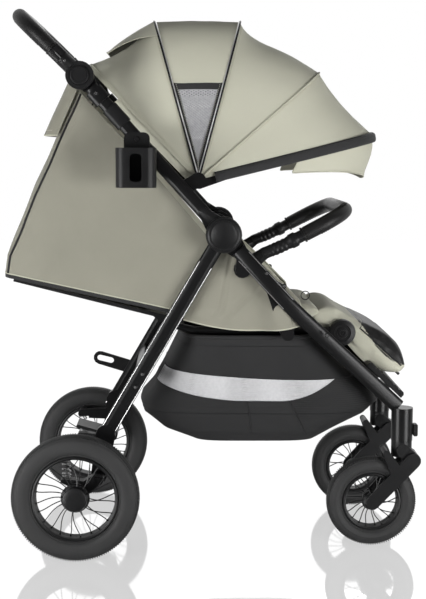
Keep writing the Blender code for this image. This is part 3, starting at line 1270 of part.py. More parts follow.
def build_soft_parts():
    pivot = at(CANOPY_PIVOT, 0.0)
    sections = (("canopy_rear", HOOP_1_ANGLE, REAR_HOOP_ANGLE, HOOP_REACH, REAR_HOOP_REACH),
                ("canopy_top", HOOP_2_ANGLE, HOOP_1_ANGLE, HOOP_REACH, HOOP_REACH),
                ("canopy_middle", HOOP_3_ANGLE, HOOP_2_ANGLE, HOOP_REACH, HOOP_REACH),
                ("canopy_front", BOW_ANGLE, HOOP_3_ANGLE, BOW_REACH, HOOP_REACH))
    for name, low, high, low_reach, high_reach in sections:
        finish(canopy_section(low, high, low_reach, high_reach), name, BEIGE_FABRIC, pivot)
    finish(canopy_bow(), "canopy_bow", BLACK_METAL, pivot)
    finish(visor(), "visor", BEIGE_FABRIC, at(polar(CANOPY_PIVOT, BOW_ANGLE, BOW_REACH), 0.0))
    finish(seat_pad(), "seat_pad", BEIGE_FABRIC)
    finish(seat_wings(), "seat_wings", BEIGE_FABRIC)
    finish(basket(), "basket", BLACK_FABRIC)
    finish(legrest_pad(), "legrest_pad", BEIGE_FABRIC, at(LEGREST_PIVOT, 0.0))
    finish(backrest_pad(), "backrest_pad", BEIGE_FABRIC, at(RECLINE_PIVOT, 0.0))
    finish(back_shell(), "back_shell", BEIGE_FABRIC, at(HINGE, 0.0))


def place_origin():
    """Parent every piece to an empty that puts the origin under the middle of the box."""
    bpy.context.view_layer.update()
    pieces = [item for item in bpy.data.objects if item.type == "MESH"]
    corners = [item.matrix_world @ vertex.co for item in pieces for vertex in item.data.vertices]
    low = [min(corner[axis] for corner in corners) for axis in range(3)]
    high = [max(corner[axis] for corner in corners) for axis in range(3)]
    origin = bpy.data.objects.new("stroller_origin", None)
    bpy.context.scene.collection.objects.link(origin)
    origin.location = (-(low[0] + high[0]) / 2, -(low[1] + high[1]) / 2, -low[2])
    for item in pieces:
        item.parent = origin
    print("design frame shift:", [round(value, 6) for value in origin.location])
    print("overall size:", [round(high[axis] - low[axis], 4) for axis in range(3)])


clear_scene()
build_pairs()
build_frame_parts()
build_soft_parts()
place_origin()
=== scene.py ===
# %% [markdown]
# # A folding stroller, dressed in Blender
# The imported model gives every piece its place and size. This lesson adds what the eye expects: cloth with
# folds and seams, round tyres, spokes, stitching and finishes. Every step first says what the real thing is.

# %% Load the frame
import json
import math

import bmesh
import bpy
from mathutils import Matrix, Vector, noise
from mathutils.bvhtree import BVHTree

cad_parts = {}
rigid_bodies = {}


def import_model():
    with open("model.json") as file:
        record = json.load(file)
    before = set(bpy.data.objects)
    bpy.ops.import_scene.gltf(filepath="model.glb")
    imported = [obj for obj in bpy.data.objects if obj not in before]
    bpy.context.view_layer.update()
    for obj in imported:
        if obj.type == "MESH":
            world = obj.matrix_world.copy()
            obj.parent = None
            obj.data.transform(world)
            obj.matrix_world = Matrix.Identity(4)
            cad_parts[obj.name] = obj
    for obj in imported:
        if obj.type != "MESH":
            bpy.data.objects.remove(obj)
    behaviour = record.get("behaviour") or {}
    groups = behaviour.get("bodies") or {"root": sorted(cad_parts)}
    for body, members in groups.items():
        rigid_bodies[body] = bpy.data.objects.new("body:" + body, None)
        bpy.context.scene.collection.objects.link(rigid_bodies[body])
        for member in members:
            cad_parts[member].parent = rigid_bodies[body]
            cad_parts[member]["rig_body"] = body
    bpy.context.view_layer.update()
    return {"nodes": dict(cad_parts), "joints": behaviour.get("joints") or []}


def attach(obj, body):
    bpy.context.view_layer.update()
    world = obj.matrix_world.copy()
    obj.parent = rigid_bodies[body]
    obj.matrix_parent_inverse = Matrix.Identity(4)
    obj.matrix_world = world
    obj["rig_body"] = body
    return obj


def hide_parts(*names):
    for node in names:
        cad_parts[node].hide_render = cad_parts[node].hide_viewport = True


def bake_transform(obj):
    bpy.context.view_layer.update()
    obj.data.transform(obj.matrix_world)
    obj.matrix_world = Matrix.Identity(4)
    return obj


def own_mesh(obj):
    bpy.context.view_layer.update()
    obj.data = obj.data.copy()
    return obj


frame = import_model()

# %% [markdown]
# The stroller is easiest to think about from its rear axle: x grows forward, y to its left, z up from the ground.
# The main hinge is the piece everything hangs on, so its joint tells where that design frame lies in the file.

# %% Design frame
JOINTS = {joint["name"]: joint for joint in frame["joints"]}
HINGE = (0.310, 0.685)
hinge_place = JOINTS["handle_fold"]["pos_m"]
ORIGIN = Vector((hinge_place[0] - HINGE[0], hinge_place[1], 0.0))
SIDES = (("right", -1.0), ("left", 1.0))


def polar(centre, degrees, distance):
    angle = math.radians(degrees)
    return (centre[0] + distance * math.cos(angle), centre[1] + distance * math.sin(angle))


def beside(point, degrees, offset):
    return polar(point, degrees + 90.0, offset)


def at(point, y):
    return Vector((point[0], y, point[1]))


def joint_point(name):
    """A joint's place in the side view of the design frame."""
    place = Vector(JOINTS[name]["pos_m"]) - ORIGIN
    return (place.x, place.z)


def heading(degrees):
    """A direction in the side view, as an (x, y, z) tuple."""
    x, z = polar((0.0, 0.0), degrees, 1.0)
    return (x, 0.0, z)


UPWARDS, SIDEWAYS = (0.0, 0.0, 1.0), (0.0, 1.0, 0.0)
PUSH_ANGLE = 132.3
FRONT_ANGLE = -47.0
REAR_LEG_ANGLE = 239.8
HANDLE_ANGLE = 136.0
HANDLE_JOINT = joint_point("handlebar_tilt")
CANOPY_PIVOT = joint_point("canopy_fold")
LEGREST_PIVOT = joint_point("legrest_tilt")
RECLINE_PIVOT = joint_point("backrest_recline")
REAR_AXLE = joint_point("rear_wheel_spin_right")
FRONT_AXLE = joint_point("front_wheel_spin_right")
REAR_WHEEL_Y = 0.265
FRONT_WHEEL_Y = 0.158
print("wheelbase:", round(FRONT_AXLE[0] - REAR_AXLE[0], 3))

# %% [markdown]
# The camera stands a little above the seat, three metres away, and looks almost straight at the right side.
# Its place was solved from the circles of the wheels, so near and far wheels land where the photograph has them.

# %% Camera
CAMERA_PLACE = Vector((0.22902, -2.86050, 0.86207))
CAMERA_YAW = -0.0224
CAMERA_PITCH = 0.1182
CAMERA_ROLL = 0.00402
CAMERA_LENS = 76.07


def make_camera():
    forward = Vector((-math.sin(CAMERA_YAW) * math.cos(CAMERA_PITCH), math.cos(CAMERA_YAW) * math.cos(CAMERA_PITCH),
                      -math.sin(CAMERA_PITCH)))
    level = Vector((math.cos(CAMERA_YAW), math.sin(CAMERA_YAW), 0.0))
    upright = level.cross(forward)
    right = level * math.cos(CAMERA_ROLL) + upright * math.sin(CAMERA_ROLL)
    up = right.cross(forward)
    data = bpy.data.cameras.new("camera")
    data.lens = CAMERA_LENS
    data.sensor_width = 36.0
    camera = bpy.data.objects.new("camera", data)
    turn = Matrix((right, up, -forward)).transposed().to_4x4()
    camera.matrix_world = Matrix.Translation(CAMERA_PLACE + ORIGIN) @ turn
    bpy.context.scene.collection.objects.link(camera)
    bpy.context.scene.camera = camera


make_camera()
bpy.context.scene.view_settings.view_transform = "Standard"

# %% [markdown]
# Finishes are node trees. Adding Math nodes by hand is slow to read, so a small class wraps a socket and lets
# shader maths be written as plain sums. Every other node comes from one method of the finish.

# %% Shader helpers


class Socket:
    """A number inside a node tree that can be added, multiplied and compared."""

    def __init__(self, tree, socket):
        self.tree = tree
        self.socket = socket

    def combine(self, operation, first, second=None):
        node = self.tree.nodes.new("ShaderNodeMath")
        node.operation = operation
        for index, item in enumerate((first, second)):
            if item is None:
                continue
            if isinstance(item, Socket):
                self.tree.links.new(item.socket, node.inputs[index])
            else:
                node.inputs[index].default_value = item
        return Socket(self.tree, node.outputs[0])

    def __add__(self, other):
        return self.combine("ADD", self, other)

    def __radd__(self, other):
        return self.combine("ADD", other, self)

    def __sub__(self, other):
        return self.combine("SUBTRACT", self, other)

    def __rsub__(self, other):
        return self.combine("SUBTRACT", other, self)

    def __mul__(self, other):
        return self.combine("MULTIPLY", self, other)

    def __rmul__(self, other):
        return self.combine("MULTIPLY", other, self)

    def __truediv__(self, other):
        return self.combine("DIVIDE", self, other)

    def __rtruediv__(self, other):
        return self.combine("DIVIDE", other, self)

    def __gt__(self, other):
        return self.combine("GREATER_THAN", self, other)

    def __lt__(self, other):
        return self.combine("LESS_THAN", self, other)

    def sine(self):
        return self.combine("SINE", self)

    def size(self):
        return self.combine("ABSOLUTE", self)

    def largest(self, other):
        return self.combine("MAXIMUM", self, other)


class Finish:
    """A material with its shader and the few nodes that the finishes here share."""

    def __init__(self, name, roughness=0.5, metallic=0.0, specular=0.5):
        self.material = bpy.data.materials.new(name)
        self.material.use_nodes = True
        self.tree = self.material.node_tree
        self.shader = self.tree.nodes["Principled BSDF"]
        self.shader.inputs["Roughness"].default_value = roughness
        self.shader.inputs["Metallic"].default_value = metallic
        self.shader.inputs["Specular IOR Level"].default_value = specular
        self.coordinates = self.tree.nodes.new("ShaderNodeTexCoord")

    def node(self, kind, settings=None, inputs=None):
        item = self.tree.nodes.new(kind)
        for key, value in (settings or {}).items():
            setattr(item, key, value)
        for key, value in (inputs or {}).items():
            if isinstance(value, Socket):
                self.tree.links.new(value.socket, item.inputs[key])
            elif isinstance(value, bpy.types.NodeSocket):
                self.tree.links.new(value, item.inputs[key])
            else:
                item.inputs[key].default_value = value
        return item

    def value(self, socket):
        return Socket(self.tree, socket)

    def noise(self, scale, detail=3.0, source="Object", stretch=(1.0, 1.0, 1.0)):
        mapped = self.node("ShaderNodeMapping", None, {"Vector": self.coordinates.outputs[source], "Scale": stretch})
        item = self.node("ShaderNodeTexNoise", None,
                         {"Vector": mapped.outputs[0], "Scale": scale, "Detail": detail})
        return self.value(item.outputs["Fac"])

    def cells(self, scale):
        item = self.node("ShaderNodeTexVoronoi", {"feature": "DISTANCE_TO_EDGE"},
                         {"Vector": self.coordinates.outputs["Object"], "Scale": scale})
        return self.value(item.outputs["Distance"])

    def uv(self):
        split = self.node("ShaderNodeSeparateXYZ", None, {"Vector": self.coordinates.outputs["UV"]})
        return self.value(split.outputs[0]), self.value(split.outputs[1])

    def crossed(self, pitch):
        """Two sets of slanting threads, from -1 in the gaps to 1 on a thread."""
        u, v = self.uv()
        turns = 2.0 * math.pi / pitch
        return ((u + v) * turns).sine().largest(((u - v) * turns).sine())

    def mixed(self, factor, low, high):
        item = self.node("ShaderNodeMix", {"data_type": "RGBA"}, {0: factor, 6: low, 7: high})
        return item.outputs[2]

    def blend(self, factor, low, high):
        return self.mixed(factor, (*low, 1.0), (*high, 1.0))

    def link(self, value, name):
        source = value.socket if isinstance(value, Socket) else value
        self.tree.links.new(source, self.shader.inputs[name])

    def bump(self, height, distance, strength=1.0):
        item = self.node("ShaderNodeBump", None, {"Height": height, "Distance": distance, "Strength": strength})
        self.link(item.outputs[0], "Normal")


# %% [markdown]
# The floor and the world are plain white. The floor is glossy, so the wheels are mirrored in it, and for the camera
# a share of plain white is mixed in so that it runs into the backdrop without a line. Large soft lamps light the
# side that faces the camera evenly, down to the wheels, as in a catalogue picture. Behind the camera the room is
# dim, so flat black faces stay black and only their rounded edges catch a line of light.

# %% Studio
LAMP_POWER = 16.0
WORLD_LEVEL = 0.14
FLOOR_WHITE, FLOOR_GLOW, FLOOR_HALF = 0.42, 1.36, 9.0
LAMPS = (("lamp_front", (-1.6, -2.6, 2.0), 1.8, 0.3, (0.2, 0.0, 0.6)),
         ("lamp_left", (-1.75, -1.75, 0.30), 1.2, 4.3, (0.1, 0.0, 0.5)),
         ("lamp_right", (2.1, -1.85, 0.30), 1.2, 3.6, (0.3, 0.0, 0.5)),
         ("lamp_back", (0.8, 2.8, 2.0), 1.6, 0.9, (0.2, 0.0, 0.6)))


def make_floor():
    finish = Finish("floor_white", roughness=0.05, metallic=0.62)
    finish.shader.inputs["Base Color"].default_value = (0.93, 0.93, 0.93, 1.0)
    finish.shader.inputs["IOR"].default_value = 1.9
    path = finish.node("ShaderNodeLightPath")
    white = finish.node("ShaderNodeEmission", None, {"Color": (1.0, 1.0, 1.0, 1.0), "Strength": FLOOR_GLOW})
    seen = finish.value(path.outputs["Is Camera Ray"]) * FLOOR_WHITE
    mixed = finish.node("ShaderNodeMixShader", None, {0: seen, 1: finish.shader.outputs[0], 2: white.outputs[0]})
    finish.tree.links.new(mixed.outputs[0], finish.tree.nodes["Material Output"].inputs[0])
    mesh = bpy.data.meshes.new("floor")
    corners = [(x * FLOOR_HALF, y * FLOOR_HALF, 0.0) for x, y in ((-1, -1), (1, -1), (1, 1), (-1, 1))]
    mesh.from_pydata(corners, [], [(0, 1, 2, 3)])
    mesh.materials.append(finish.material)
    floor = bpy.data.objects.new("floor", mesh)
    floor.location.z = -0.0005
    bpy.context.scene.collection.objects.link(floor)


def make_world():
    world = bpy.data.worlds.new("studio")
    bpy.context.scene.world = world
    world.use_nodes = True
    tree = world.node_tree
    background = tree.nodes["Background"]
    background.inputs["Color"].default_value = (1.0, 1.0, 1.0, 1.0)
    path = tree.nodes.new("ShaderNodeLightPath")
    split = tree.nodes.new("ShaderNodeSeparateXYZ")
    tree.links.new(tree.nodes.new("ShaderNodeTexCoord").outputs["Generated"], split.inputs[0])
    backdrop = Socket(tree, split.outputs[1]) > 0.0
    seen = Socket(tree, path.outputs["Is Camera Ray"]).largest(Socket(tree, path.outputs["Is Glossy Ray"]) * backdrop)
    seen = seen.largest(Socket(tree, path.outputs["Is Transmission Ray"]))
    level = seen * (1.0 - WORLD_LEVEL) + WORLD_LEVEL
    tree.links.new(level.socket, background.inputs["Strength"])


def make_lamp(name, place, size, power, target):
    data = bpy.data.lights.new(name, "AREA")
    data.shape = "RECTANGLE"
    data.size = size
    data.size_y = size
    data.energy = power
    lamp = bpy.data.objects.new(name, data)
    lamp.location = Vector(place) + ORIGIN
    lamp.rotation_euler = (Vector(target) - Vector(place)).to_track_quat("-Z", "Y").to_euler()
    bpy.context.scene.collection.objects.link(lamp)


make_floor()
make_world()
for label, spot, wide, share, aim in LAMPS:
    make_lamp(label, spot, wide, LAMP_POWER * share, aim)

# %% [markdown]
# Finishes of the hard pieces. The tubes are powder coated aluminium: a satin black with a very fine orange peel.
# The joints are glass filled nylon, duller and grainier. Screws are bare steel, and the tyres soft dull rubber.

# %% Hard finishes
BLACK_SHINE = 0.20


def powder_coat():
    finish = Finish("black_powder_coat", roughness=0.34, specular=BLACK_SHINE)
    patch = finish.noise(9.0, 4.0)
    finish.link(finish.blend(patch, (0.0045, 0.0045, 0.0048), (0.0085, 0.0085, 0.0088)), "Base Color")
    finish.link(patch * 0.12 + 0.24, "Roughness")
    finish.bump(finish.noise(1400.0, 2.0), 0.00006)
    return finish.material


def grained_plastic(name="black_nylon", low=(0.0055, 0.0055, 0.0058), high=(0.011, 0.011, 0.0115), roughness=0.42):
    finish = Finish(name, roughness=roughness, specular=BLACK_SHINE)
    patch = finish.noise(14.0, 4.0)
    finish.link(finish.blend(patch, low, high), "Base Color")
    finish.link(patch * 0.12 + (roughness - 0.06), "Roughness")
    finish.bump(finish.cells(900.0), 0.00008, 0.6)
    return finish.material


def tyre_rubber():
    """Dull rubber with moulded ribs: u runs round the wheel, v across the tread."""
    finish = Finish("tyre_rubber", roughness=0.72)
    around, across = finish.uv()
    dust = finish.noise(30.0, 5.0)
    finish.link(finish.blend(dust, (0.010, 0.010, 0.0105), (0.023, 0.023, 0.023)), "Base Color")
    finish.link(dust * 0.16 + 0.60, "Roughness")
    shoulder = (across > 0.30) * (across < 0.70)
    lugs = (around * (2.0 * math.pi * 88.0)).sine() > 0.1
    finish.bump(lugs * shoulder + finish.noise(500.0, 2.0) * 0.25, 0.0006)
    return finish.material


def grip_leather():
    finish = Finish("grip_leather", roughness=0.5, specular=BLACK_SHINE)
    pores = finish.cells(520.0)
    patch = finish.noise(22.0, 4.0)
    finish.link(finish.blend(patch, (0.006, 0.006, 0.006), (0.014, 0.0135, 0.0135)), "Base Color")
    finish.link(patch * 0.15 + 0.36, "Roughness")
    finish.bump(pores, 0.00035, 0.8)
    return finish.material


def bare_steel(name, tone, roughness):
    finish = Finish(name, roughness=roughness, metallic=1.0)
    brushed = finish.noise(300.0, 3.0, stretch=(1.0, 1.0, 14.0))
    finish.link(finish.blend(brushed, (tone * 0.8,) * 3, (tone,) * 3), "Base Color")
    finish.link(brushed * 0.15 + (roughness - 0.07), "Roughness")
    return finish.material


BLACK_METAL = powder_coat()
BLACK_PLASTIC = grained_plastic()
RUBBER = tyre_rubber()
LEATHER = grip_leather()
SCREW_STEEL = bare_steel("screw_steel", 0.75, 0.25)
SPRING_STEEL = bare_steel("spring_steel", 0.35, 0.35)

# %% [markdown]
# Finishes of the cloth. The cover is a plain polyester weave in a warm grey beige. The threads are far too fine
# for geometry, so two crossed sine waves on the sheet's own UV map, which is in metres, raise them.

# %% Soft finishes
BEIGE_LOW = (0.445, 0.440, 0.352)
BEIGE_HIGH = (0.530, 0.525, 0.430)
NET_PITCH = 0.0056
WEAVE_DEPTH = 0.00012


def woven(name, low, high, thread=0.0009, roughness=0.86):
    finish = Finish(name, roughness=roughness)
    along, across = finish.uv()
    turns = 2.0 * math.pi / thread
    weave = (along * turns).sine() * (across * turns).sine() * 0.5 + 0.5
    slub = finish.noise(1.0, 4.0, "UV", (900.0, 60.0, 1.0))
    patch = finish.noise(7.0, 5.0)
    tone = patch * 0.70 + slub * 0.20 + weave * 0.10
    finish.link(finish.blend(tone, low, high), "Base Color")
    finish.link(tone * 0.10 + (roughness - 0.05), "Roughness")
    finish.bump(weave + slub * 0.6 + finish.noise(60.0, 4.0) * 1.4, WEAVE_DEPTH)
    finish.shader.inputs["Sheen Weight"].default_value = 0.12
    finish.shader.inputs["Sheen Roughness"].default_value = 0.5
    return finish.material


def netting(name, low, high, pitch, hole):
    """Knitted net: crossed diagonal threads with open cells between them."""
    finish = Finish(name, roughness=0.8)
    threads = finish.crossed(pitch)
    finish.link(finish.blend(finish.noise(1.0, 3.0, "UV", (160.0, 160.0, 1.0)), low, high), "Base Color")
    finish.link(threads > (hole * 2.0 - 1.0), "Alpha")
    finish.bump(threads, 0.0003)
    return finish.material


BEIGE = woven("beige_weave", BEIGE_LOW, BEIGE_HIGH)
BEIGE_HEM = woven("beige_hem", (0.40, 0.395, 0.31), (0.48, 0.475, 0.38), thread=0.0012)
BLACK_CLOTH = woven("black_weave", (0.009, 0.009, 0.0095), (0.021, 0.021, 0.022), roughness=0.85)
LINING = woven("dark_lining", (0.20, 0.195, 0.155), (0.27, 0.262, 0.212))
PIPING = grained_plastic("black_piping", (0.008, 0.008, 0.009), (0.015, 0.015, 0.016), 0.5)
REFLECTIVE = bare_steel("reflective_piping", 0.80, 0.42)
WINDOW_NET = netting("window_net", (0.26, 0.26, 0.27), (0.46, 0.46, 0.47), NET_PITCH, 0.26)
THREAD = woven("beige_thread", (0.50, 0.49, 0.40), (0.62, 0.61, 0.50), thread=0.0006)

# %% [markdown]
# Two ways to make a piece are enough for most of the stroller. A loft skins rings of points into a tube, a ring
# or a bag. A sheet skins a grid of points and is given a wall, which is how cloth is made here.

# %% Mesh helpers


def piece(name, bm, material, body, nodes=(), smooth=35.0, outward=True):
    """Turn a mesh in the design frame into a finished object that rides on a body."""
    bmesh.ops.translate(bm, verts=bm.verts, vec=ORIGIN)
    if outward:
        bmesh.ops.recalc_face_normals(bm, faces=bm.faces)
    mesh = bpy.data.meshes.new(name)
    bm.to_mesh(mesh)
    bm.free()
    mesh.shade_smooth()
    mesh.set_sharp_from_angle(angle=math.radians(smooth))
    for item in (material if isinstance(material, (list, tuple)) else [material]):
        mesh.materials.append(item)
    result = bpy.data.objects.new(name, mesh)
    bpy.context.scene.collection.objects.link(result)
    if body:
        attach(result, body)
    if nodes:
        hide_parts(*nodes)
    return result


def add_loft(bm, rings, material=0):
    """Skin and cap rings of points; u runs round the ring and v along the loft, both in metres."""
    layer = bm.loops.layers.uv.verify()
    rows = [[bm.verts.new(point) for point in ring] for ring in rings]
    count = len(rows[0])
    around = [0.0]
    for index in range(count):
        step = (rows[0][(index + 1) % count].co - rows[0][index].co).length
        around.append(around[-1] + step)
    height = 0.0
    for low, high in zip(rows, rows[1:]):
        rise = (high[0].co - low[0].co).length
        for index in range(count):
            after = (index + 1) % count
            face = bm.faces.new((low[index], low[after], high[after], high[index]))
            face.material_index = material
            corners = ((around[index], height), (around[index + 1], height), (around[index + 1], height + rise),
                       (around[index], height + rise))
            for loop, corner in zip(face.loops, corners):
                loop[layer].uv = corner
        height += rise
    for row in (rows[0], rows[-1]):
        bm.faces.new(row).material_index = material


def sweep_rings(path, section, reference, scales=None):
    """Rings of a section carried along a path without twisting."""
    path = [Vector(point) for point in path]
    normal = Vector(reference)
    rings = []
    for index, point in enumerate(path):
        ahead = path[min(index + 1, len(path) - 1)]
        behind = path[max(index - 1, 0)]
        tangent = (ahead - behind).normalized()
        normal = (normal - tangent * normal.dot(tangent)).normalized()
        binormal = tangent.cross(normal)
        scale = scales[index] if scales else 1.0
        rings.append([point + (normal * a + binormal * b) * scale for a, b in section])
    return rings


def circle_section(radius, count=16):
    turn = 2.0 * math.pi / count
    return [(radius * math.cos(turn * i), radius * math.sin(turn * i)) for i in range(count)]


def squarish(value, power):
    """A sine or cosine pressed towards a square: flat sides with round corners."""
    return math.copysign(abs(value) ** power, value)


def run_lengths(path):
    """The length run along a path at each of its points."""
    lengths = [0.0]
    for before, after in zip(path, path[1:]):
        lengths.append(lengths[-1] + (after - before).length)
    return lengths


def smooth_path(points, parts=6):
    """A curve through every point, as a draughtsman's spline gives."""
    points = [Vector(point) for point in points]
    padded = [points[0] * 2 - points[1]] + points + [points[-1] * 2 - points[-2]]
    result = []
    for before, start, end, after in zip(padded, padded[1:], padded[2:], padded[3:]):
        for part in range(parts):
            t = part / parts
            result.append(0.5 * ((2 * start) + (end - before) * t + (2 * before - 5 * start + 4 * end - after) * t ** 2
                                 + (3 * start - before - 3 * end + after) * t ** 3))
    return result + [points[-1]]


def tube(name, path, radius, material, body, nodes=(), count=16, reference=SIDEWAYS):
    bm = bmesh.new()
    add_loft(bm, sweep_rings(path, circle_section(radius, count), reference))
    return piece(name, bm, material, body, nodes, smooth=50.0)


def add_turned(bm, profile, centre, side, segments, closed):
    """Spin (radius, y) points about a lateral axis. In the UV map u runs 0 to 1 round, v 0 to 1 across."""
    layer = bm.loops.layers.uv.verify()
    rings = []
    for index in range(segments):
        degrees = 360.0 * index / segments
        rings.append([bm.verts.new(at(polar(centre, degrees, radius), side * y)) for radius, y in profile])
    count = len(profile)
    last = count if closed else count - 1
    for index in range(segments):
        low, high = rings[index], rings[(index + 1) % segments]
        for step in range(last):
            after = (step + 1) % count
            face = bm.faces.new((low[step], low[after], high[after], high[step]))
            corners = ((index, step), (index, step + 1), (index + 1, step + 1), (index + 1, step))
            for loop, (u, v) in zip(face.loops, corners):
                loop[layer].uv = (u / segments, v / last)
    if not closed:
        for end in (0, -1):
            bm.faces.new([ring[end] for ring in rings])


def add_sheet(bm, grid, thickness, material, back_material):
    """Cloth from a grid of points: an outer face, an inner face and a closed edge, with a UV map in metres."""
    layer = bm.loops.layers.uv.verify()
    rows, columns = len(grid), len(grid[0])
    points = [[Vector(point) for point in row] for row in grid]
    back = []
    for r in range(rows):
        line = []
        for c in range(columns):
            across = points[r][min(c + 1, columns - 1)] - points[r][max(c - 1, 0)]
            along = points[min(r + 1, rows - 1)][c] - points[max(r - 1, 0)][c]
            normal = across.cross(along)
            if normal.length < 1e-12:
                normal = Vector((0.0, 0.0, 1.0))
            line.append(points[r][c] + normal.normalized() * thickness)
        back.append(line)
    us = run_lengths(points[rows // 2])
    vs = run_lengths([row[columns // 2] for row in points])
    skins = []
    for skin, index in ((points, material), (back, back_material)):
        verts = [[bm.verts.new(point) for point in row] for row in skin]
        skins.append(verts)
        for r in range(rows - 1):
            for c in range(columns - 1):
                face = bm.faces.new((verts[r][c], verts[r][c + 1], verts[r + 1][c + 1], verts[r + 1][c]))
                face.material_index = index
                corners = ((us[c], vs[r]), (us[c + 1], vs[r]), (us[c + 1], vs[r + 1]), (us[c], vs[r + 1]))
                for loop, corner in zip(face.loops, corners):
                    loop[layer].uv = corner

    def rim(verts):
        last = [row[-1] for row in verts[1:-1]]
        first = [row[0] for row in verts[-2:0:-1]]
        return verts[0] + last + verts[-1][::-1] + first

    outer, inner = rim(skins[0]), rim(skins[1])
    for index in range(len(outer)):
        after = (index + 1) % len(outer)
        face = bm.faces.new((outer[index], outer[after], inner[after], inner[index]))
        face.material_index = material
        for loop in face.loops:
            loop[layer].uv = (us[0], vs[0])
    return us[-1], vs[-1]


# %% [markdown]
# Most rigid pieces already have the right shape in the model, but their edges are razor sharp. Real moulded and
# sawn edges are rounded, and that thin round catches the light. A copy of the node gets a small live bevel.

# %% Rounded copies of rigid nodes
MERGE_DISTANCE = 0.000005
FLAT_ANGLE = 0.8
BEVEL_ANGLE = 38.0
METAL_PAIRS = ("front_leg", "push_tube", "rear_leg")
PLASTIC_PAIRS = ("main_hinge", "handle_knuckle", "fold_trigger", "swing_arm", "caster_head", "swivel_lock",
                 "front_fork")
METAL_SINGLES = ("seat_frame", "rear_crossbar", "rear_axle", "handlebar")
PLASTIC_SINGLES = ("footplate", "brake_pedal", "fold_catch", "cup_clip", "cup_holder", "legrest_frame",
                   "backrest_board", "handle_button_right", "handle_button_left")


def node_mesh(node, flatten=False):
    """A node's mesh in the design frame, its loose triangles joined and on request its flat faces too."""
    bm = bmesh.new()
    bm.from_mesh(frame["nodes"][node].data)
    bmesh.ops.remove_doubles(bm, verts=bm.verts, dist=MERGE_DISTANCE)
    if flatten:
        bmesh.ops.dissolve_limit(bm, angle_limit=math.radians(FLAT_ANGLE), verts=bm.verts, edges=bm.edges)
    bmesh.ops.translate(bm, verts=bm.verts, vec=-ORIGIN)
    return bm


def polished(node, material, width=0.0009):
    """Put a copy with a live bevel in the node's place."""
    body = frame["nodes"][node]["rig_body"]
    result = piece(node + "_rounded", node_mesh(node, True), material, body, [node], BEVEL_ANGLE, False)
    bevel = result.modifiers.new("edge round", "BEVEL")
    bevel.width = width
    bevel.segments = 2
    bevel.limit_method = "ANGLE"
    bevel.angle_limit = math.radians(BEVEL_ANGLE)
    bevel.harden_normals = True


for bases, finish in ((METAL_PAIRS, BLACK_METAL), (PLASTIC_PAIRS, BLACK_PLASTIC)):
    for base in bases:
        for name, _ in SIDES:
            polished(base + "_" + name, finish)
for node in METAL_SINGLES:
    polished(node, BLACK_METAL, 0.0004)
for node in PLASTIC_SINGLES:
    polished(node, BLACK_PLASTIC)
print("rigid nodes rounded:", 2 * len(METAL_PAIRS + PLASTIC_PAIRS) + len(METAL_SINGLES + PLASTIC_SINGLES))

# %% [markdown]
# What repeats is made by Geometry Nodes. One small function builds a tree from named inputs, another runs it on a
# mesh and returns a plain mesh. The first tree is a row of stitches: a line is cut into even steps, and on each
# step lies a short thread that points along the line, as a sewing machine leaves it.

# %% Geometry Nodes: rows of stitches
THREAD_SIDES = 5


def new_tree(name, inputs):
    """An empty geometry tree with named inputs; returns the tree and its two end nodes."""
    tree = bpy.data.node_groups.new(name, "GeometryNodeTree")
    tree.interface.new_socket(name="Geometry", in_out="INPUT", socket_type="NodeSocketGeometry")
    for label, kind, value in inputs:
        item = tree.interface.new_socket(name=label, in_out="INPUT", socket_type=kind)
        if value is not None:
            item.default_value = value
    tree.interface.new_socket(name="Geometry", in_out="OUTPUT", socket_type="NodeSocketGeometry")
    return tree, tree.nodes.new("NodeGroupInput"), tree.nodes.new("NodeGroupOutput")


def finish_tree(tree, start, end, instances):
    """Every tree ends in real geometry with its material."""
    real = tree.nodes.new("GeometryNodeRealizeInstances")
    dressed = tree.nodes.new("GeometryNodeSetMaterial")
    tree.links.new(instances, real.inputs[0])
    tree.links.new(real.outputs[0], dressed.inputs["Geometry"])
    tree.links.new(start.outputs["Material"], dressed.inputs["Material"])
    tree.links.new(dressed.outputs[0], end.inputs[0])


def link_all(tree, *pairs):
    """Join pairs of sockets: the first of each feeds the second."""
    for source, target in pairs:
        tree.links.new(source, target)


def stitch_tree():
    tree, start, end = new_tree("stitch_row", [
        ("Pitch", "NodeSocketFloat", 0.0036), ("Length", "NodeSocketFloat", 0.0026),
        ("Radius", "NodeSocketFloat", 0.0004), ("Material", "NodeSocketMaterial", None)])
    curve = tree.nodes.new("GeometryNodeMeshToCurve")
    even = tree.nodes.new("GeometryNodeResampleCurve")
    even.mode = "LENGTH"
    thread = tree.nodes.new("GeometryNodeMeshCylinder")
    thread.inputs["Vertices"].default_value = THREAD_SIDES
    tangent = tree.nodes.new("GeometryNodeInputTangent")
    turn = tree.nodes.new("FunctionNodeAlignRotationToVector")
    turn.axis = "Z"
    place = tree.nodes.new("GeometryNodeInstanceOnPoints")
    link_all(tree, (start.outputs["Geometry"], curve.inputs["Mesh"]), (curve.outputs[0], even.inputs["Curve"]),
             (start.outputs["Pitch"], even.inputs["Length"]), (start.outputs["Radius"], thread.inputs["Radius"]),
             (start.outputs["Length"], thread.inputs["Depth"]), (tangent.outputs[0], turn.inputs["Vector"]),
             (even.outputs[0], place.inputs["Points"]), (thread.outputs["Mesh"], place.inputs["Instance"]),
             (turn.outputs[0], place.inputs["Rotation"]))
    finish_tree(tree, start, end, place.outputs[0])
    return tree


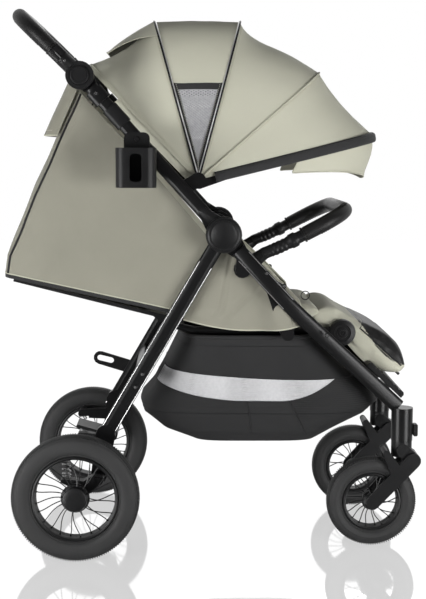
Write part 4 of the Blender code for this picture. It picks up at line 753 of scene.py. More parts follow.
def grown(tree, mesh, values):
    """Run a geometry tree on a mesh and return the plain mesh that it makes."""
    holder = bpy.data.objects.new("grown", mesh)
    bpy.context.scene.collection.objects.link(holder)
    modifier = holder.modifiers.new("nodes", "NODES")
    modifier.node_group = tree
    for item in tree.interface.items_tree:
        if item.item_type == "SOCKET" and item.in_out == "INPUT" and item.name in values:
            modifier[item.identifier] = values[item.name]
    bpy.context.view_layer.update()
    result = bpy.data.meshes.new_from_object(holder.evaluated_get(bpy.context.evaluated_depsgraph_get()))
    holder.modifiers.clear()
    bpy.data.objects.remove(holder)
    return result


def add_mesh(bm, mesh, material, turn=None):
    """Join a mesh to a bmesh under one material index."""
    if turn is not None:
        mesh.transform(turn)
    count = len(bm.faces)
    bm.from_mesh(mesh)
    bm.faces.ensure_lookup_table()
    for face in bm.faces[count:]:
        face.material_index = material
    bpy.data.meshes.remove(mesh)


STITCHES = stitch_tree()
stitch_total = []


def add_stitches(bm, lines, material, pitch=0.0036, length=0.0025, radius=0.0004):
    mesh = bpy.data.meshes.new("stitch_line")
    points, edges = [], []
    for line in lines:
        edges += [(len(points) + i, len(points) + i + 1) for i in range(len(line) - 1)]
        points += [tuple(point) for point in line]
    mesh.from_pydata(points, edges, [])
    made = grown(STITCHES, mesh, {"Pitch": pitch, "Length": length, "Radius": radius, "Material": THREAD})
    stitch_total.append(len(made.vertices) // 10)
    add_mesh(bm, made, material)


# %% [markdown]
# Every soft piece is sewn from the same few cloths, so they share one list of materials. The names below are the
# places in that list: the face of the cover, its lining, the thread, the black cord in a seam, the silver cord,
# the window net, the black cloth, the hem and the black leatherette. Unused ones are taken out again piece by
# piece.
# %% Sewn pieces
SOFT = [BEIGE, LINING, THREAD, PIPING, REFLECTIVE, WINDOW_NET, BLACK_CLOTH, BEIGE_HEM, LEATHER]
FACE, BACK, STITCH, CORD, SILVER, NET, DARK, HEM, DARK_HIDE = range(9)
CLOTH = 0.0012


def sewn(name, bm, body, nodes=()):
    """A soft piece with only the materials it uses."""
    used = sorted({face.material_index for face in bm.faces})
    for face in bm.faces:
        face.material_index = used.index(face.material_index)
    return piece(name, bm, [SOFT[index] for index in used], body, nodes, smooth=50.0)


def cloth_area(bm):
    return sum(face.calc_area() for face in bm.faces) / 2.0


def add_cord(bm, path, radius, material, sides=8, reference=SIDEWAYS):
    add_loft(bm, sweep_rings(path, circle_section(radius, sides), reference), material)


def traced(surface, starts, direction, lift):
    """Where rays from a row of points meet a surface, lifted a little off it."""
    hits = [surface.ray_cast(start, direction)[0] for start in starts]
    return [hit + lift for hit in hits if hit is not None]


def between(points, share):
    """A point on a line of (x, z) points at a share of its length."""
    lengths = [math.dist(a, b) for a, b in zip(points, points[1:])]
    left = share * sum(lengths)
    for start, end, length in zip(points, points[1:], lengths):
        if left <= length + 1e-9:
            break
        left -= length
    part = min(1.0, left / length)
    return (start[0] + (end[0] - start[0]) * part, start[1] + (end[1] - start[1]) * part)


def steps(low, high, count):
    return [low + (high - low) * index / (count - 1) for index in range(count)]


# %% [markdown]
# The canopy is one cover sewn from four curved panels over three ribs and a front bow. Each rib is a squarish
# arch from one pivot to the other. Between two ribs the cloth runs straight and is drawn in a little, most just
# behind the higher rib, where the tension turns over it. One function gives any point of the cover, so panels,
# seams, cords and stitches all lie on the same surface.

# %% Canopy surface
CANOPY_WIDTH = 0.186
ARCH_SIDE, ARCH_UP = 0.55, 0.62
RIBS = {"rear": (134.4, 0.343), "first": (105.6, 0.352), "second": (75.0, 0.352), "third": (41.1, 0.352),
        "bow": (13.9, 0.398)}
PANELS = {"rear": ("first", "rear", 0.0130, 1.0, 1.0), "top": ("second", "first", -0.0015, 1.0, 1.0),
          "middle": ("third", "second", 0.0135, 3.0, 0.8), "front": ("bow", "third", 0.0080, 1.2, 1.0)}
CANOPY_CREASES = ((9.0, 0.0022), (34.0, 0.0007))
ROOT = 0.35


def creased(point, creases):
    """Small folds: noise of a few sizes, each with its depth."""
    return sum(noise.noise(point * rate) * depth for rate, depth in creases)


def rib_point(rib, degrees, lift=0.0):
    angle, reach = RIBS[rib]
    turn = math.radians(degrees)
    across = -(CANOPY_WIDTH + lift) * squarish(math.cos(turn), ARCH_SIDE)
    return at(polar(CANOPY_PIVOT, angle, (reach + lift) * math.sin(turn) ** ARCH_UP), across)


def cover_point(panel, share, degrees, lift=0.0):
    low, high, sag, rise, fall = PANELS[panel]
    start, end = rib_point(low, degrees, lift), rib_point(high, degrees, lift)
    flat = start.lerp(end, share)
    peak = rise / (rise + fall)
    shape = share ** rise * (1.0 - share) ** fall / (peak ** rise * (1.0 - peak) ** fall)
    weight = math.sin(math.radians(degrees)) ** 1.5
    inward = (at(CANOPY_PIVOT, 0.0) - flat).normalized()
    held = min(1.0, 4.0 * share, 4.0 - 4.0 * share)
    return flat + inward * (sag * shape * weight + creased(flat, CANOPY_CREASES) * held)


def even_degrees(first, last, count):
    """Angles that step evenly along a rib, which plain angles don't near its pivots."""
    fine = steps(first, last, 900)
    lengths = run_lengths([rib_point("second", degrees) for degrees in fine])
    result, index = [], 0
    for target in steps(0.0, lengths[-1], count):
        while index < len(fine) - 2 and lengths[index + 1] < target:
            index += 1
        part = (target - lengths[index]) / max(1e-9, lengths[index + 1] - lengths[index])
        result.append(fine[index] + (fine[index + 1] - fine[index]) * min(1.0, part))
    return result


def seam_line(panel, upper, shift, lift, first=ROOT, last=180.0 - ROOT, count=110):
    """A line on a panel at a fixed distance from its upper or lower rib."""
    low, high = PANELS[panel][:2]
    line = []
    for degrees in even_degrees(first, last, count):
        width = (rib_point(high, degrees) - rib_point(low, degrees)).length
        share = min(0.45, shift / width)
        line.append(cover_point(panel, 1.0 - share if upper else share, degrees, lift))
    return line


def add_panel(bm, panel, first, last, columns, rows, material, back, lift=0.0):
    grid = [[cover_point(panel, share, degrees, lift) for degrees in even_degrees(first, last, columns)]
            for share in steps(0.0, 1.0, rows)]
    return add_sheet(bm, grid, -CLOTH, material, back)


print("rib length:", round(run_lengths([rib_point("second", turn) for turn in steps(ROOT, 179.0, 200)])[-1], 3))

# %% [markdown]
# The panels themselves. The first two ribs carry a double seam: a folded beige edge, a black cord and a thin
# silver cord that reflects head lamps. Between them lies the crown with a net window at each side. The rear panel
# also has a short skirt below each end of its rib and a loose flap on its crown. Each panel rides on its own rib.

# %% Canopy panels
WINDOW_TOP = 22.8
WINDOW_HEAD = 25.6
WINDOW_COLUMNS = 34
WINDOW_STITCH = (0.0042, 0.0026, 0.0003)
FOLD_CLOTH = 0.0008
SEAM_FOLD = (0.0004, 0.0030, 0.0060, 0.0088)
TAPE_FOLD = (0.0030, 0.0060, 0.0095)
REAR_HEM = (-0.0030, 0.0, 0.0040, 0.0085)
SKIRT_SPAN, SKIRT_END, SKIRT_FADE = 34.0, 0.34, 0.10
SKIRT_LEAST, SKIRT_MORE = 0.004, 0.014
FLAP_START, FLAP_REACH = 0.01, 0.70
PANEL_COLUMNS, PANEL_ROWS = 110, 26
PANEL_MOVES = {"front": ("canopy_bow", "canopy_fold", "bow", 0.23),
               "middle": ("canopy_rib_middle", "canopy_fold", "third", 0.14),
               "top": ("canopy_rib_top", "canopy_fold", "second", 0.19),
               "rear": ("push_frame", "handle_fold", "rear", 0.20)}


def mirrored(first, last):
    """The same stretch of a rib on the right side and on the left, in degrees."""
    return (first, last), (180.0 - last, 180.0 - first)


def add_double_seam(bm, panel, upper):
    """Folded edge with two rows of stitches on the outer side of a main rib."""
    grid = [seam_line(panel, upper, shift, 0.0006) for shift in SEAM_FOLD]
    add_sheet(bm, grid, FOLD_CLOTH if upper else -FOLD_CLOTH, HEM, HEM)
    add_stitches(bm, [seam_line(panel, upper, 0.0085, 0.0004), seam_line(panel, upper, 0.0045, 0.0008)], STITCH)


def add_crown(bm, panel):
    """The top panel: beige in the middle, a net window at each side and a dark tape between them."""
    flat = add_panel(bm, panel, WINDOW_HEAD, 180.0 - WINDOW_HEAD, PANEL_COLUMNS - WINDOW_COLUMNS, PANEL_ROWS,
                     FACE, BACK)
    for first, last in mirrored(ROOT, WINDOW_TOP):
        add_panel(bm, panel, first, last, WINDOW_COLUMNS, PANEL_ROWS, NET, NET, lift=-0.0012)
    for first, last in mirrored(WINDOW_TOP, WINDOW_HEAD):
        add_panel(bm, panel, first, last, 5, PANEL_ROWS, DARK, DARK, lift=-0.0004)
    return 2.0 * flat[0], flat[1]


def add_window_trim(bm, panel):
    """Tapes round the windows, and the silver and the black cord along both main ribs."""
    for upper in (True, False):
        for first, last in mirrored(ROOT, WINDOW_HEAD):
            grid = [seam_line(panel, upper, shift, 0.0002, first, last, 40) for shift in TAPE_FOLD]
            add_sheet(bm, grid, FOLD_CLOTH if upper else -FOLD_CLOTH, DARK, DARK)
            line = seam_line(panel, upper, 0.0085, 0.0007, first, last, 40)
            add_stitches(bm, [line], STITCH, *WINDOW_STITCH)
        add_cord(bm, seam_line(panel, upper, 0.0022, 0.0014), 0.0013, SILVER, reference=UPWARDS)
        add_cord(bm, seam_line(panel, upper, -0.0008, 0.0018), 0.0019, CORD, reference=UPWARDS)
    head = WINDOW_HEAD + 0.4
    for degrees in (head, 180.0 - head):
        line = [cover_point(panel, share, degrees, 0.0004) for share in steps(0.06, 0.94, 30)]
        add_stitches(bm, [line], STITCH)


def add_rear_skirts(bm):
    """The strip that hangs below each end of the rear rib and fades out upwards."""
    down = Vector(heading(RIBS["rear"][0] + 90.0))
    for first, last in mirrored(ROOT, SKIRT_SPAN):
        edge = [rib_point("rear", degrees, -0.0015) for degrees in even_degrees(first, last, 50)]
        fade = [(SKIRT_END - math.dist((point.x, point.z), CANOPY_PIVOT)) / SKIRT_FADE for point in edge]
        drops = [SKIRT_LEAST + SKIRT_MORE * max(0.0, min(1.0, value)) for value in fade]
        grid = [[point + down * drop * share for point, drop in zip(edge, drops)] for share in steps(0.0, 1.0, 4)]
        add_sheet(bm, grid, -CLOTH if first < 90.0 else CLOTH, FACE, BACK)


def add_crown_flap(bm, panel):
    """The loose flap on the crown of the rear panel; returns its rows."""
    grid = []
    for share in steps(0.0, 1.0, 12):
        along = FLAP_START + FLAP_REACH * share
        row = []
        for degrees in even_degrees(56.0 + 20.0 * share, 124.0 - 20.0 * share, 60):
            low, high = cover_point(panel, along, degrees), cover_point(panel, along, degrees, 1.0)
            row.append(low + (high - low).normalized() * (0.003 + 0.016 * math.sin(math.pi * 0.80 * share)))
        grid.append(row)
    add_sheet(bm, grid, -CLOTH, FACE, BACK)
    return grid


def canopy_panel(panel, body, joint, rib, keep):
    bm = bmesh.new()
    if panel == "top":
        flat = add_crown(bm, panel)
    else:
        flat = add_panel(bm, panel, ROOT, 180.0 - ROOT, PANEL_COLUMNS, PANEL_ROWS, FACE, BACK)
    area = cloth_area(bm)
    if panel == "top":
        add_window_trim(bm, panel)
    elif panel == "rear":
        add_double_seam(bm, panel, False)
        add_sheet(bm, [seam_line(panel, True, shift, 0.0012) for shift in REAR_HEM], 0.0016, HEM, HEM)
        add_stitches(bm, [seam_line(panel, True, 0.0070, 0.0022)], STITCH)
        before = cloth_area(bm)
        add_rear_skirts(bm)
        flap = add_crown_flap(bm, panel)
        extra = cloth_area(bm) - before
        flat = (flat[0], flat[1] + extra / flat[0])
        area += extra
        add_cord(bm, flap[-1], 0.0017, HEM)
        add_stitches(bm, [[point.lerp(other, 0.5) for point, other in zip(flap[-2], flap[-1])]], STITCH)
    elif panel == "middle":
        add_double_seam(bm, panel, True)
    else:
        add_cord(bm, seam_line(panel, True, 0.0004, 0.0012), 0.0022, HEM, reference=UPWARDS)
        add_stitches(bm, [seam_line(panel, True, 0.0052, 0.0003)], STITCH)
    obj = sewn("canopy_cloth_" + panel, bm, body, ["canopy_" + panel])
    min(area, flat[0] * flat[1])
    heading(RIBS[rib][0] + 90.0)
    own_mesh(obj)
    print(obj.name, "flat:", [round(value, 3) for value in flat], "area:", round(area, 3))


for panel, move in PANEL_MOVES.items():
    canopy_panel(panel, *move)

# %% [markdown]
# The front bow is a steel wire in a black cloth sleeve. The sleeve is wider than the wire and hangs below it, so
# the edge of the canopy shows a flat black band with a cord along its top. The visor is a small brim below it. Its
# root is sewn to the bow.

# %% Bow sleeve and visor
BOW_TURN = RIBS["bow"][0]
VISOR_ROWS = ((0.0, 0.0), (2.4, 0.003), (4.8, 0.0085), (7.4, 0.0165), (9.8, 0.0235), (12.2, 0.028))
VISOR_SPAN = (22.0, 158.0)
VISOR_TUCK = 1.4
VISOR_BEND = 0.045


def bow_band():
    bm = bmesh.new()
    plane = Vector(heading(BOW_TURN + 90.0))
    path = [rib_point("bow", degrees, 0.001) for degrees in even_degrees(1.2, 178.8, 110)]
    section = [(0.0040, -0.0044), (0.0058, -0.0026), (0.0062, 0.0), (0.0058, 0.0026), (0.0040, 0.0044), (0.0, 0.0056),
               (-0.0070, 0.0052), (-0.0118, 0.0040), (-0.0140, 0.0016), (-0.0140, -0.0016), (-0.0118, -0.0040),
               (-0.0080, -0.0052), (0.0, -0.0056)]
    add_loft(bm, sweep_rings(path, section, plane), material=DARK)
    add_cord(bm, [point + plane * 0.0062 for point in path], 0.0015, CORD, reference=plane)
    sewn("bow_sleeve", bm, "canopy_bow")


def visor_cloth():
    bm = bmesh.new()
    grid = []
    for turn, drop in reversed(VISOR_ROWS):
        row = []
        for degrees in even_degrees(*VISOR_SPAN, 72):
            cosine, sine = math.cos(math.radians(degrees)), math.sin(math.radians(degrees))
            angle = BOW_TURN - VISOR_TUCK - turn * (1.0 - 0.35 * abs(cosine))
            reach = (RIBS["bow"][1] - 0.002 - drop) * sine ** ARCH_UP
            row.append(at(polar(CANOPY_PIVOT, angle, reach), -(CANOPY_WIDTH - 0.003) * squarish(cosine, ARCH_SIDE)))
        grid.append(row)
    flat = add_sheet(bm, grid, -CLOTH, FACE, BACK)
    area = cloth_area(bm)
    rim = [row[0] for row in reversed(grid)] + grid[0] + [row[-1] for row in grid]
    add_cord(bm, smooth_path(rim[::2], 2), 0.0013, HEM, reference=UPWARDS)
    edge = [point.lerp(other, 0.25) + Vector((0.0004, 0.0, 0.0)) for point, other in zip(grid[0], grid[1])]
    add_stitches(bm, [edge], STITCH)
    obj = sewn("visor_cloth", bm, None, ["visor"])
    min(area, flat[0] * flat[1])
    root = at(polar(CANOPY_PIVOT, BOW_TURN, 0.30), 0.0)
    forward = Vector(heading(BOW_TURN - 90.0)) * VISOR_BEND
    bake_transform(obj)


polished("canopy_bow", BLACK_PLASTIC, 0.0006)
bow_band()
visor_cloth()

# %% [markdown]
# The back shell is the rear wall of the seat: two side panels and a back panel, joined at the corners by a black
# corded seam, with a short flap that hangs over its top. It is one sheet that runs round from the left push tube
# to the right one, bulges a little at the back and ends below in a stitched hem.

# %% Back shell
SHELL_Y = 0.188
CORNER = 0.020
REAR_EDGE = [(-0.153, 0.602), (-0.147, 0.637), (-0.109, 0.724), (-0.079, 0.791), (-0.047, 0.860), (-0.019, 0.924),
             (0.008, 0.982)]
FRONT_EDGE = [(0.205, 0.524), (0.236, 0.566), (0.290, 0.664), (0.156, 0.820), (0.020, 0.968)]
SIDE_COLUMNS, CORNER_COLUMNS, BACK_COLUMNS = 40, 6, 44
SHELL_CREASES = ((11.0, 0.0026), (30.0, 0.0008))
SHELL_FLAP = (0.74, 1.04)


def shell_row(share):
    """One row of the shell, from the right front edge round the back to the left front edge."""
    rear, front = between(REAR_EDGE, share), between(FRONT_EDGE, share)
    bulge = 0.005 + 0.011 * math.sin(math.pi * min(1.0, share * 0.95)) ** 1.2
    direction = Vector((front[0] - rear[0], 0.0, front[1] - rear[1])).normalized()
    row = []
    for part in steps(1.0, 0.0, SIDE_COLUMNS):
        point = (rear[0] + (front[0] - rear[0]) * part, rear[1] + (front[1] - rear[1]) * part)
        puff = 0.0035 * math.sin(math.pi * part) * math.sin(math.pi * share)
        row.append(at(point, -(SHELL_Y + puff)) + direction * (CORNER * (1.0 - part) ** 6))
    for degrees in steps(12.0, 78.0, CORNER_COLUMNS):
        turn = math.radians(degrees)
        row.append(at(rear, -SHELL_Y) + direction * (CORNER - CORNER * math.sin(turn))
                   + Vector((0.0, CORNER - CORNER * math.cos(turn), 0.0)))
    side = list(row)
    for part in steps(0.0, 1.0, BACK_COLUMNS):
        across = (SHELL_Y - CORNER) * (2.0 * part - 1.0)
        swell = bulge * (1.0 - (2.0 * part - 1.0) ** 2) ** 0.8
        row.append(at(rear, across) - direction * swell)
    return row + [Vector((point.x, -point.y, point.z)) for point in reversed(side)]


def add_shell_flap(bm):
    """The short flap that hangs over the top of the back."""
    first, last = SHELL_FLAP
    flap = []
    for share in steps(first, last, 12):
        rear = between(REAR_EDGE, min(1.0, share))
        above = max(0.0, share - 1.0) * 0.55
        rear = (rear[0] + above * 0.42, rear[1] + above * 0.9)
        line = []
        for part in steps(-1.0, 1.0, 60):
            swell = 0.034 * (1.0 - abs(part) ** 5) ** 0.5 + 0.002
            fold = 0.0016 * math.sin(part * 23.0) * (last - share) / (last - first)
            line.append(at((rear[0] - swell + fold, rear[1] + 0.006), (SHELL_Y - 0.004) * part))
        flap.append(line)
    add_sheet(bm, flap, -CLOTH, FACE, BACK)
    add_cord(bm, flap[0], 0.0016, HEM, reference=UPWARDS)
    add_stitches(bm, [[point + Vector((-0.0016, 0.0, 0.0)) for point in flap[1]]], STITCH)


def back_shell():
    bm = bmesh.new()
    columns = 2 * (SIDE_COLUMNS + CORNER_COLUMNS) + BACK_COLUMNS
    on_side = [index < SIDE_COLUMNS or index >= columns - SIDE_COLUMNS for index in range(columns)]
    grid = []
    for share in steps(0.0, 1.0, 46):
        row = []
        for point, side in zip(shell_row(share), on_side):
            out = Vector((0.0, math.copysign(1.0, point.y), 0.0)) if side else Vector((-1.0, 0.0, 0.4))
            row.append(point + out * creased(point, SHELL_CREASES))
        grid.append(row)
    flat = add_sheet(bm, grid, -CLOTH, FACE, BACK)
    area = cloth_area(bm)
    for column in (SIDE_COLUMNS + 2, columns - SIDE_COLUMNS - 3):
        line = [row[column] for row in grid]
        outward = Vector((-0.6, math.copysign(0.8, line[0].y), 0.0)) * 0.0016
        add_cord(bm, [point + outward for point in line], 0.0026, CORD)
        for shift in (5, -5):
            add_stitches(bm, [[row[column + shift] + outward * 0.3 for row in grid]], STITCH)
    add_cord(bm, [point + Vector((0.0, 0.0, -0.001)) for point in grid[0]], 0.0020, HEM, reference=UPWARDS)
    band = [[point + Vector((0.0, 0.0, -0.0015 - 0.0085 * share)) for point in grid[0]] for share in (1.0, 0.5, 0.0)]
    add_sheet(bm, band, -0.0016, DARK, DARK)
    for row in (grid[2], grid[4]):
        add_stitches(bm, [[point + Vector((0.0, math.copysign(0.0006, point.y) if side else 0.0, 0.0))
                           for point, side in zip(row, on_side)]], STITCH)
    add_shell_flap(bm)
    obj = sewn("back_shell_cloth", bm, "push_frame", ["back_shell"])
    min(area, flat[0] * flat[1])
    heading(PUSH_ANGLE + 90.0)
    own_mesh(obj)
    print("back shell cloth, square metres:", round(area, 3))


back_shell()

# %% [markdown]
# The seat wings are the low side walls of the seat. Each is cloth over thin foam, with two slanting seams that
# draw it in and a doubled hem below. A grid fills the outline, and the seams are pressed in by distance.

# %% Seat wings
WING_REAR = [(0.226, 0.501), (0.236, 0.566), (0.256, 0.623), (0.288, 0.662), (0.318, 0.684)]
WING_FRONT = [(0.472, 0.490), (0.480, 0.512), (0.472, 0.543), (0.415, 0.601), (0.326, 0.682)]
WING_SEAMS = ([(0.328, 0.639), (0.308, 0.523), (0.288, 0.494)], [(0.400, 0.586), (0.304, 0.491)])
WING_FACE, WING_SWELL, WING_DIP = 0.1765, 0.0075, 0.017
SEAM_DEPTH, SEAM_REACH = 0.0042, 0.0045
MOUNT_LINE = [(0.4330, 0.520), (0.4490, 0.448)]
MOUNT_FACE, MOUNT_RISE, MOUNT_REACH = 0.1815, 0.0350, 0.0360
STRIP_HEIGHT, STRIP_HALF = 0.4845, 0.176


def line_distance(point, line):
    best = 1.0
    for start, end in zip(line, line[1:]):
        run = (end[0] - start[0], end[1] - start[1])
        length = run[0] ** 2 + run[1] ** 2
        part = max(0.0, min(1.0, ((point[0] - start[0]) * run[0] + (point[1] - start[1]) * run[1]) / length))
        best = min(best, math.dist(point, (start[0] + run[0] * part, start[1] + run[1] * part)))
    return best


def wing_surface(point, share, part):
    """How far the outer face of a wing stands out at a point of its side view."""
    edge = min(share, 1.0 - share, part, 1.0 - part)
    swell = WING_SWELL * min(1.0, edge * 7.0) ** 0.5
    pressed = sum(SEAM_DEPTH * math.exp(-(line_distance(point, seam) / SEAM_REACH) ** 2) for seam in WING_SEAMS)
    over = MOUNT_RISE * math.exp(-(line_distance(point, MOUNT_LINE) / MOUNT_REACH) ** 2.6)
    return max(WING_FACE + swell - pressed, MOUNT_FACE + over) + creased(at(point, 0.0), ((26.0, 0.0008),))


def add_wing(bm, side):
    grid = []
    for share in steps(0.0, 1.0, 52):
        rear, front = between(WING_REAR, share), between(WING_FRONT, share)
        row = []
        for part in steps(0.0, 1.0, 80):
            dip = -WING_DIP * math.sin(math.pi * part) * (1.0 - share) ** 2
            point = (rear[0] + (front[0] - rear[0]) * part, rear[1] + (front[1] - rear[1]) * part + dip)
            row.append(at(point, side * wing_surface(point, share, part)))
        grid.append(row)
    add_sheet(bm, grid, 0.0022 * -side, FACE, BACK)
    for seam in WING_SEAMS:
        for shift in (-0.0035, 0.0035):
            spots = [(x + shift, z) for x, z in (between(seam, share) for share in steps(0.03, 0.97, 40))]
            add_stitches(bm, [[at(spot, side * (wing_surface(spot, 0.3, 0.4) + 0.0006)) for spot in spots]], STITCH)
    for row, lift, radius in ((0, 0.0005, 0.0021), (3, 0.0004, 0.0011)):
        add_cord(bm, [point + Vector((0.0, side * lift, 0.0)) for point in grid[row]], radius, HEM)
    add_stitches(bm, [[point + Vector((0.0, side * 0.0008, 0.0)) for point in grid[5]]], STITCH)
    add_cord(bm, [row[-1] for row in grid], 0.0020, HEM)


def seat_wings():
    bm = bmesh.new()
    for _, side in SIDES:
        add_wing(bm, side)
    strip = [[Vector((x, y, STRIP_HEIGHT + 0.002 * math.cos(y * 9.0))) for y in steps(-STRIP_HALF, STRIP_HALF, 24)]
             for x in steps(0.300, 0.462, 12)]
    add_sheet(bm, strip, -CLOTH, DARK, DARK)
    obj = sewn("seat_wings_cloth", bm, "frame", ["seat_wings"])
    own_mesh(obj)


seat_wings()

# %% [markdown]
# The basket is a soft bag that hangs under the seat: wide and open above, narrower below, with net in its walls.
# Rings of points follow its rim down to the floor and in to the middle, and the cloth sags and folds between.

# %% Basket
BASKET_LEVELS = [(0.223, 0.520, 0.180, 0.462), (0.190, 0.580, 0.166, 0.400), (0.156, 0.640, 0.152, 0.340),
                 (0.126, 0.662, 0.142, 0.306), (0.134, 0.634, 0.139, 0.281), (0.176, 0.566, 0.134, 0.248),
                 (0.244, 0.524, 0.120, 0.222)]
BASKET_CORNER = 0.42
BASKET_ROUND = 200
END_OF_WALL = 0.05
WINDOW_MIDDLE = 0.360
WINDOW_TOP_LINE = (0.3695, -0.060, 0.240)
WINDOW_LOW, WINDOW_REAR_RISE, WINDOW_FRONT_RISE, WINDOW_FLAT = 0.3165, 1.06, 3.5, 0.075
WINDOW_REAR, WINDOW_INSIDE = -0.196, 0.070
REAR_SEAM = [(0.364, 0.314), (0.372, 0.280), (0.376, 0.240)]
FRONT_SEAM = [(0.457, 0.318), (0.478, 0.276), (0.497, 0.238)]


def above_zero(value):
    """The part of a number, or of a shader value, that is more than nothing."""
    return value.largest(0.0) if isinstance(value, Socket) else max(value, 0.0)


def window_top(along):
    height, slope, rise = WINDOW_TOP_LINE
    return along * (along * rise + slope) + height


def window_low(along):
    behind, ahead = above_zero(along * -1.0), above_zero(along - WINDOW_FLAT)
    return behind * behind * WINDOW_REAR_RISE + ahead * ahead * WINDOW_FRONT_RISE + WINDOW_LOW


def basket_wall():
    """Black cloth with a window of grey net in each side, cut out by its curved top and bottom lines."""
    finish = Finish("basket_wall", roughness=0.85)
    split = finish.node("ShaderNodeSeparateXYZ", None, {"Vector": finish.coordinates.outputs["Object"]})
    x, y, z = [finish.value(split.outputs[index]) for index in range(3)]
    along = x - (ORIGIN.x + WINDOW_MIDDLE)
    wide = (y - ORIGIN.y).size() > WINDOW_INSIDE
    window = (z < window_top(along)) * (z > window_low(along)) * wide * (along > WINDOW_REAR)
    threads = finish.crossed(NET_PITCH)
    panel = (along > ((z - 0.320) * -0.465 + 0.097)) * (z < 0.367)
    cloth = finish.blend(finish.noise(7.0, 5.0), (0.006, 0.006, 0.0065), (0.014, 0.014, 0.0145))
    mesh = finish.blend(threads * 0.5 + 0.5, (0.002, 0.002, 0.0022), (0.011, 0.011, 0.0115))
    grey = finish.blend(finish.noise(160.0, 3.0), (0.42, 0.42, 0.43), (0.58, 0.58, 0.59))
    finish.link(finish.mixed(window, finish.mixed(panel, cloth, mesh), grey), "Base Color")
    finish.link(1.0 - (threads < -0.40) * window, "Alpha")
    finish.bump(threads * (window + panel) * 0.5 + finish.noise(60.0, 4.0) * 1.2, 0.00020)
    return finish.material


def basket_level(share):
    """Rear, front, half width and height of the bag, smoothly between its levels."""
    spot = share * (len(BASKET_LEVELS) - 1)
    index = min(int(spot), len(BASKET_LEVELS) - 2)
    part = spot - index
    part = part * part * (3.0 - 2.0 * part) * 0.35 + part * 0.65
    low, high = BASKET_LEVELS[index], BASKET_LEVELS[index + 1]
    return [a + (b - a) * part for a, b in zip(low, high)]


def basket_ring(share, inset=0.0, shrink=1.0):
    rear, front, half, z = basket_level(min(1.0, share))
    centre = (rear + front) / 2.0
    length = (front - rear) / 2.0 - inset
    loose = math.sin(math.pi * min(1.0, share)) ** 0.6
    ring = []
    for index in range(BASKET_ROUND):
        turn = 2.0 * math.pi * index / BASKET_ROUND
        x = centre + length * shrink * squarish(math.cos(turn), BASKET_CORNER)
        y = (half - inset) * shrink * squarish(math.sin(turn), BASKET_CORNER)
        point = Vector((x, y, z + inset))
        fold = noise.noise(Vector((x * 5.0, y * 5.0, z * 2.2))) * 0.010 + noise.noise(point * 22.0) * 0.0022
        outward = Vector((x - centre, y * 1.6, 0.0)).normalized()
        drop = -0.010 * (1.0 - shrink) - 0.004 * loose * abs(math.sin(turn))
        ring.append(point + outward * fold * loose * shrink + Vector((0.0, 0.0, drop)))
    return ring


def add_wall_seams(bm, surface, side):
    """Corded seams: two along the window's edges and two slanting ones below it."""
    top = [(x, window_top(x - WINDOW_MIDDLE)) for x in steps(0.164, 0.640, 70)]
    low = [(x, window_low(x - WINDOW_MIDDLE)) for x in steps(0.164, 0.556, 60)]
    for line in (top, low, REAR_SEAM, FRONT_SEAM):
        starts = [at((x, z), side * 0.30) for x, _, z in smooth_path([at(spot, 0.0) for spot in line], 4)]
        path = traced(surface, starts, Vector((0.0, -side, 0.0)), Vector((0.0, side * 0.0004, 0.0)))
        path = [point for point in path if abs(point.y) > END_OF_WALL]
        if len(path) > 3:
            add_cord(bm, path, 0.0013, DARK)


def basket():
    bm = bmesh.new()
    walls = steps(0.0, 1.0, 40)
    floor = steps(1.0, 0.04, 12)[1:]
    outer, inner = [[basket_ring(share, inset) for share in walls]
                    + [basket_ring(1.0, inset, shrink) for shrink in floor] for inset in (0.0, 0.002)]
    add_loft(bm, inner[::-1] + outer, material=DARK)
    surface = BVHTree.FromBMesh(bm)
    for _, side in SIDES:
        add_wall_seams(bm, surface, side)
    rim = basket_ring(0.0)
    add_cord(bm, rim + [rim[0]], 0.0045, DARK, 10, reference=UPWARDS)
    for share in (0.055, 0.60):
        ring = [point + Vector((0.0, math.copysign(0.0008, point.y), 0.0)) for point in basket_ring(share)]
        add_stitches(bm, [ring + [ring[0]]], CORD, 0.005, 0.0034, 0.0005)
    obj = sewn("basket_cloth", bm, "frame", ["basket"])
    obj.data.materials[len(obj.data.materials) - 1] = basket_wall()
    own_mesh(obj)


basket()

# %% [markdown]
# A wheel has four pieces: a soft foam tyre, a moulded rim, wire spokes in pairs and a hub with a domed cap. The
# spokes and the small tread blocks repeat, so a second tree sets one piece at even angles round a circle. The
# piece is drawn flat, in X and Y, and the whole ring is then turned upright into its wheel.

# %% Geometry Nodes: rings


def ring_tree():
    tree, start, end = new_tree("even_ring", [("Count", "NodeSocketInt", 12), ("Material", "NodeSocketMaterial", None)])
    points = tree.nodes.new("GeometryNodePoints")
    index = tree.nodes.new("GeometryNodeInputIndex")
    angle = Socket(tree, index.outputs[0]) * (2.0 * math.pi) / Socket(tree, start.outputs["Count"])
    vector = tree.nodes.new("ShaderNodeCombineXYZ")
    turn = tree.nodes.new("FunctionNodeEulerToRotation")
    place = tree.nodes.new("GeometryNodeInstanceOnPoints")
    link_all(tree, (start.outputs["Count"], points.inputs["Count"]), (angle.socket, vector.inputs["Z"]),
             (vector.outputs[0], turn.inputs[0]), (points.outputs[0], place.inputs["Points"]),
             (start.outputs["Geometry"], place.inputs["Instance"]), (turn.outputs[0], place.inputs["Rotation"]))
    finish_tree(tree, start, end, place.outputs[0])
    return tree


RING = ring_tree()


def ring_of(bm, count, material):
    """Repeat a small mesh round the Z axis and return the plain result."""
    mesh = bpy.data.meshes.new("ring_piece")
    bm.to_mesh(mesh)
    bm.free()
    return grown(RING, mesh, {"Count": count, "Material": material})


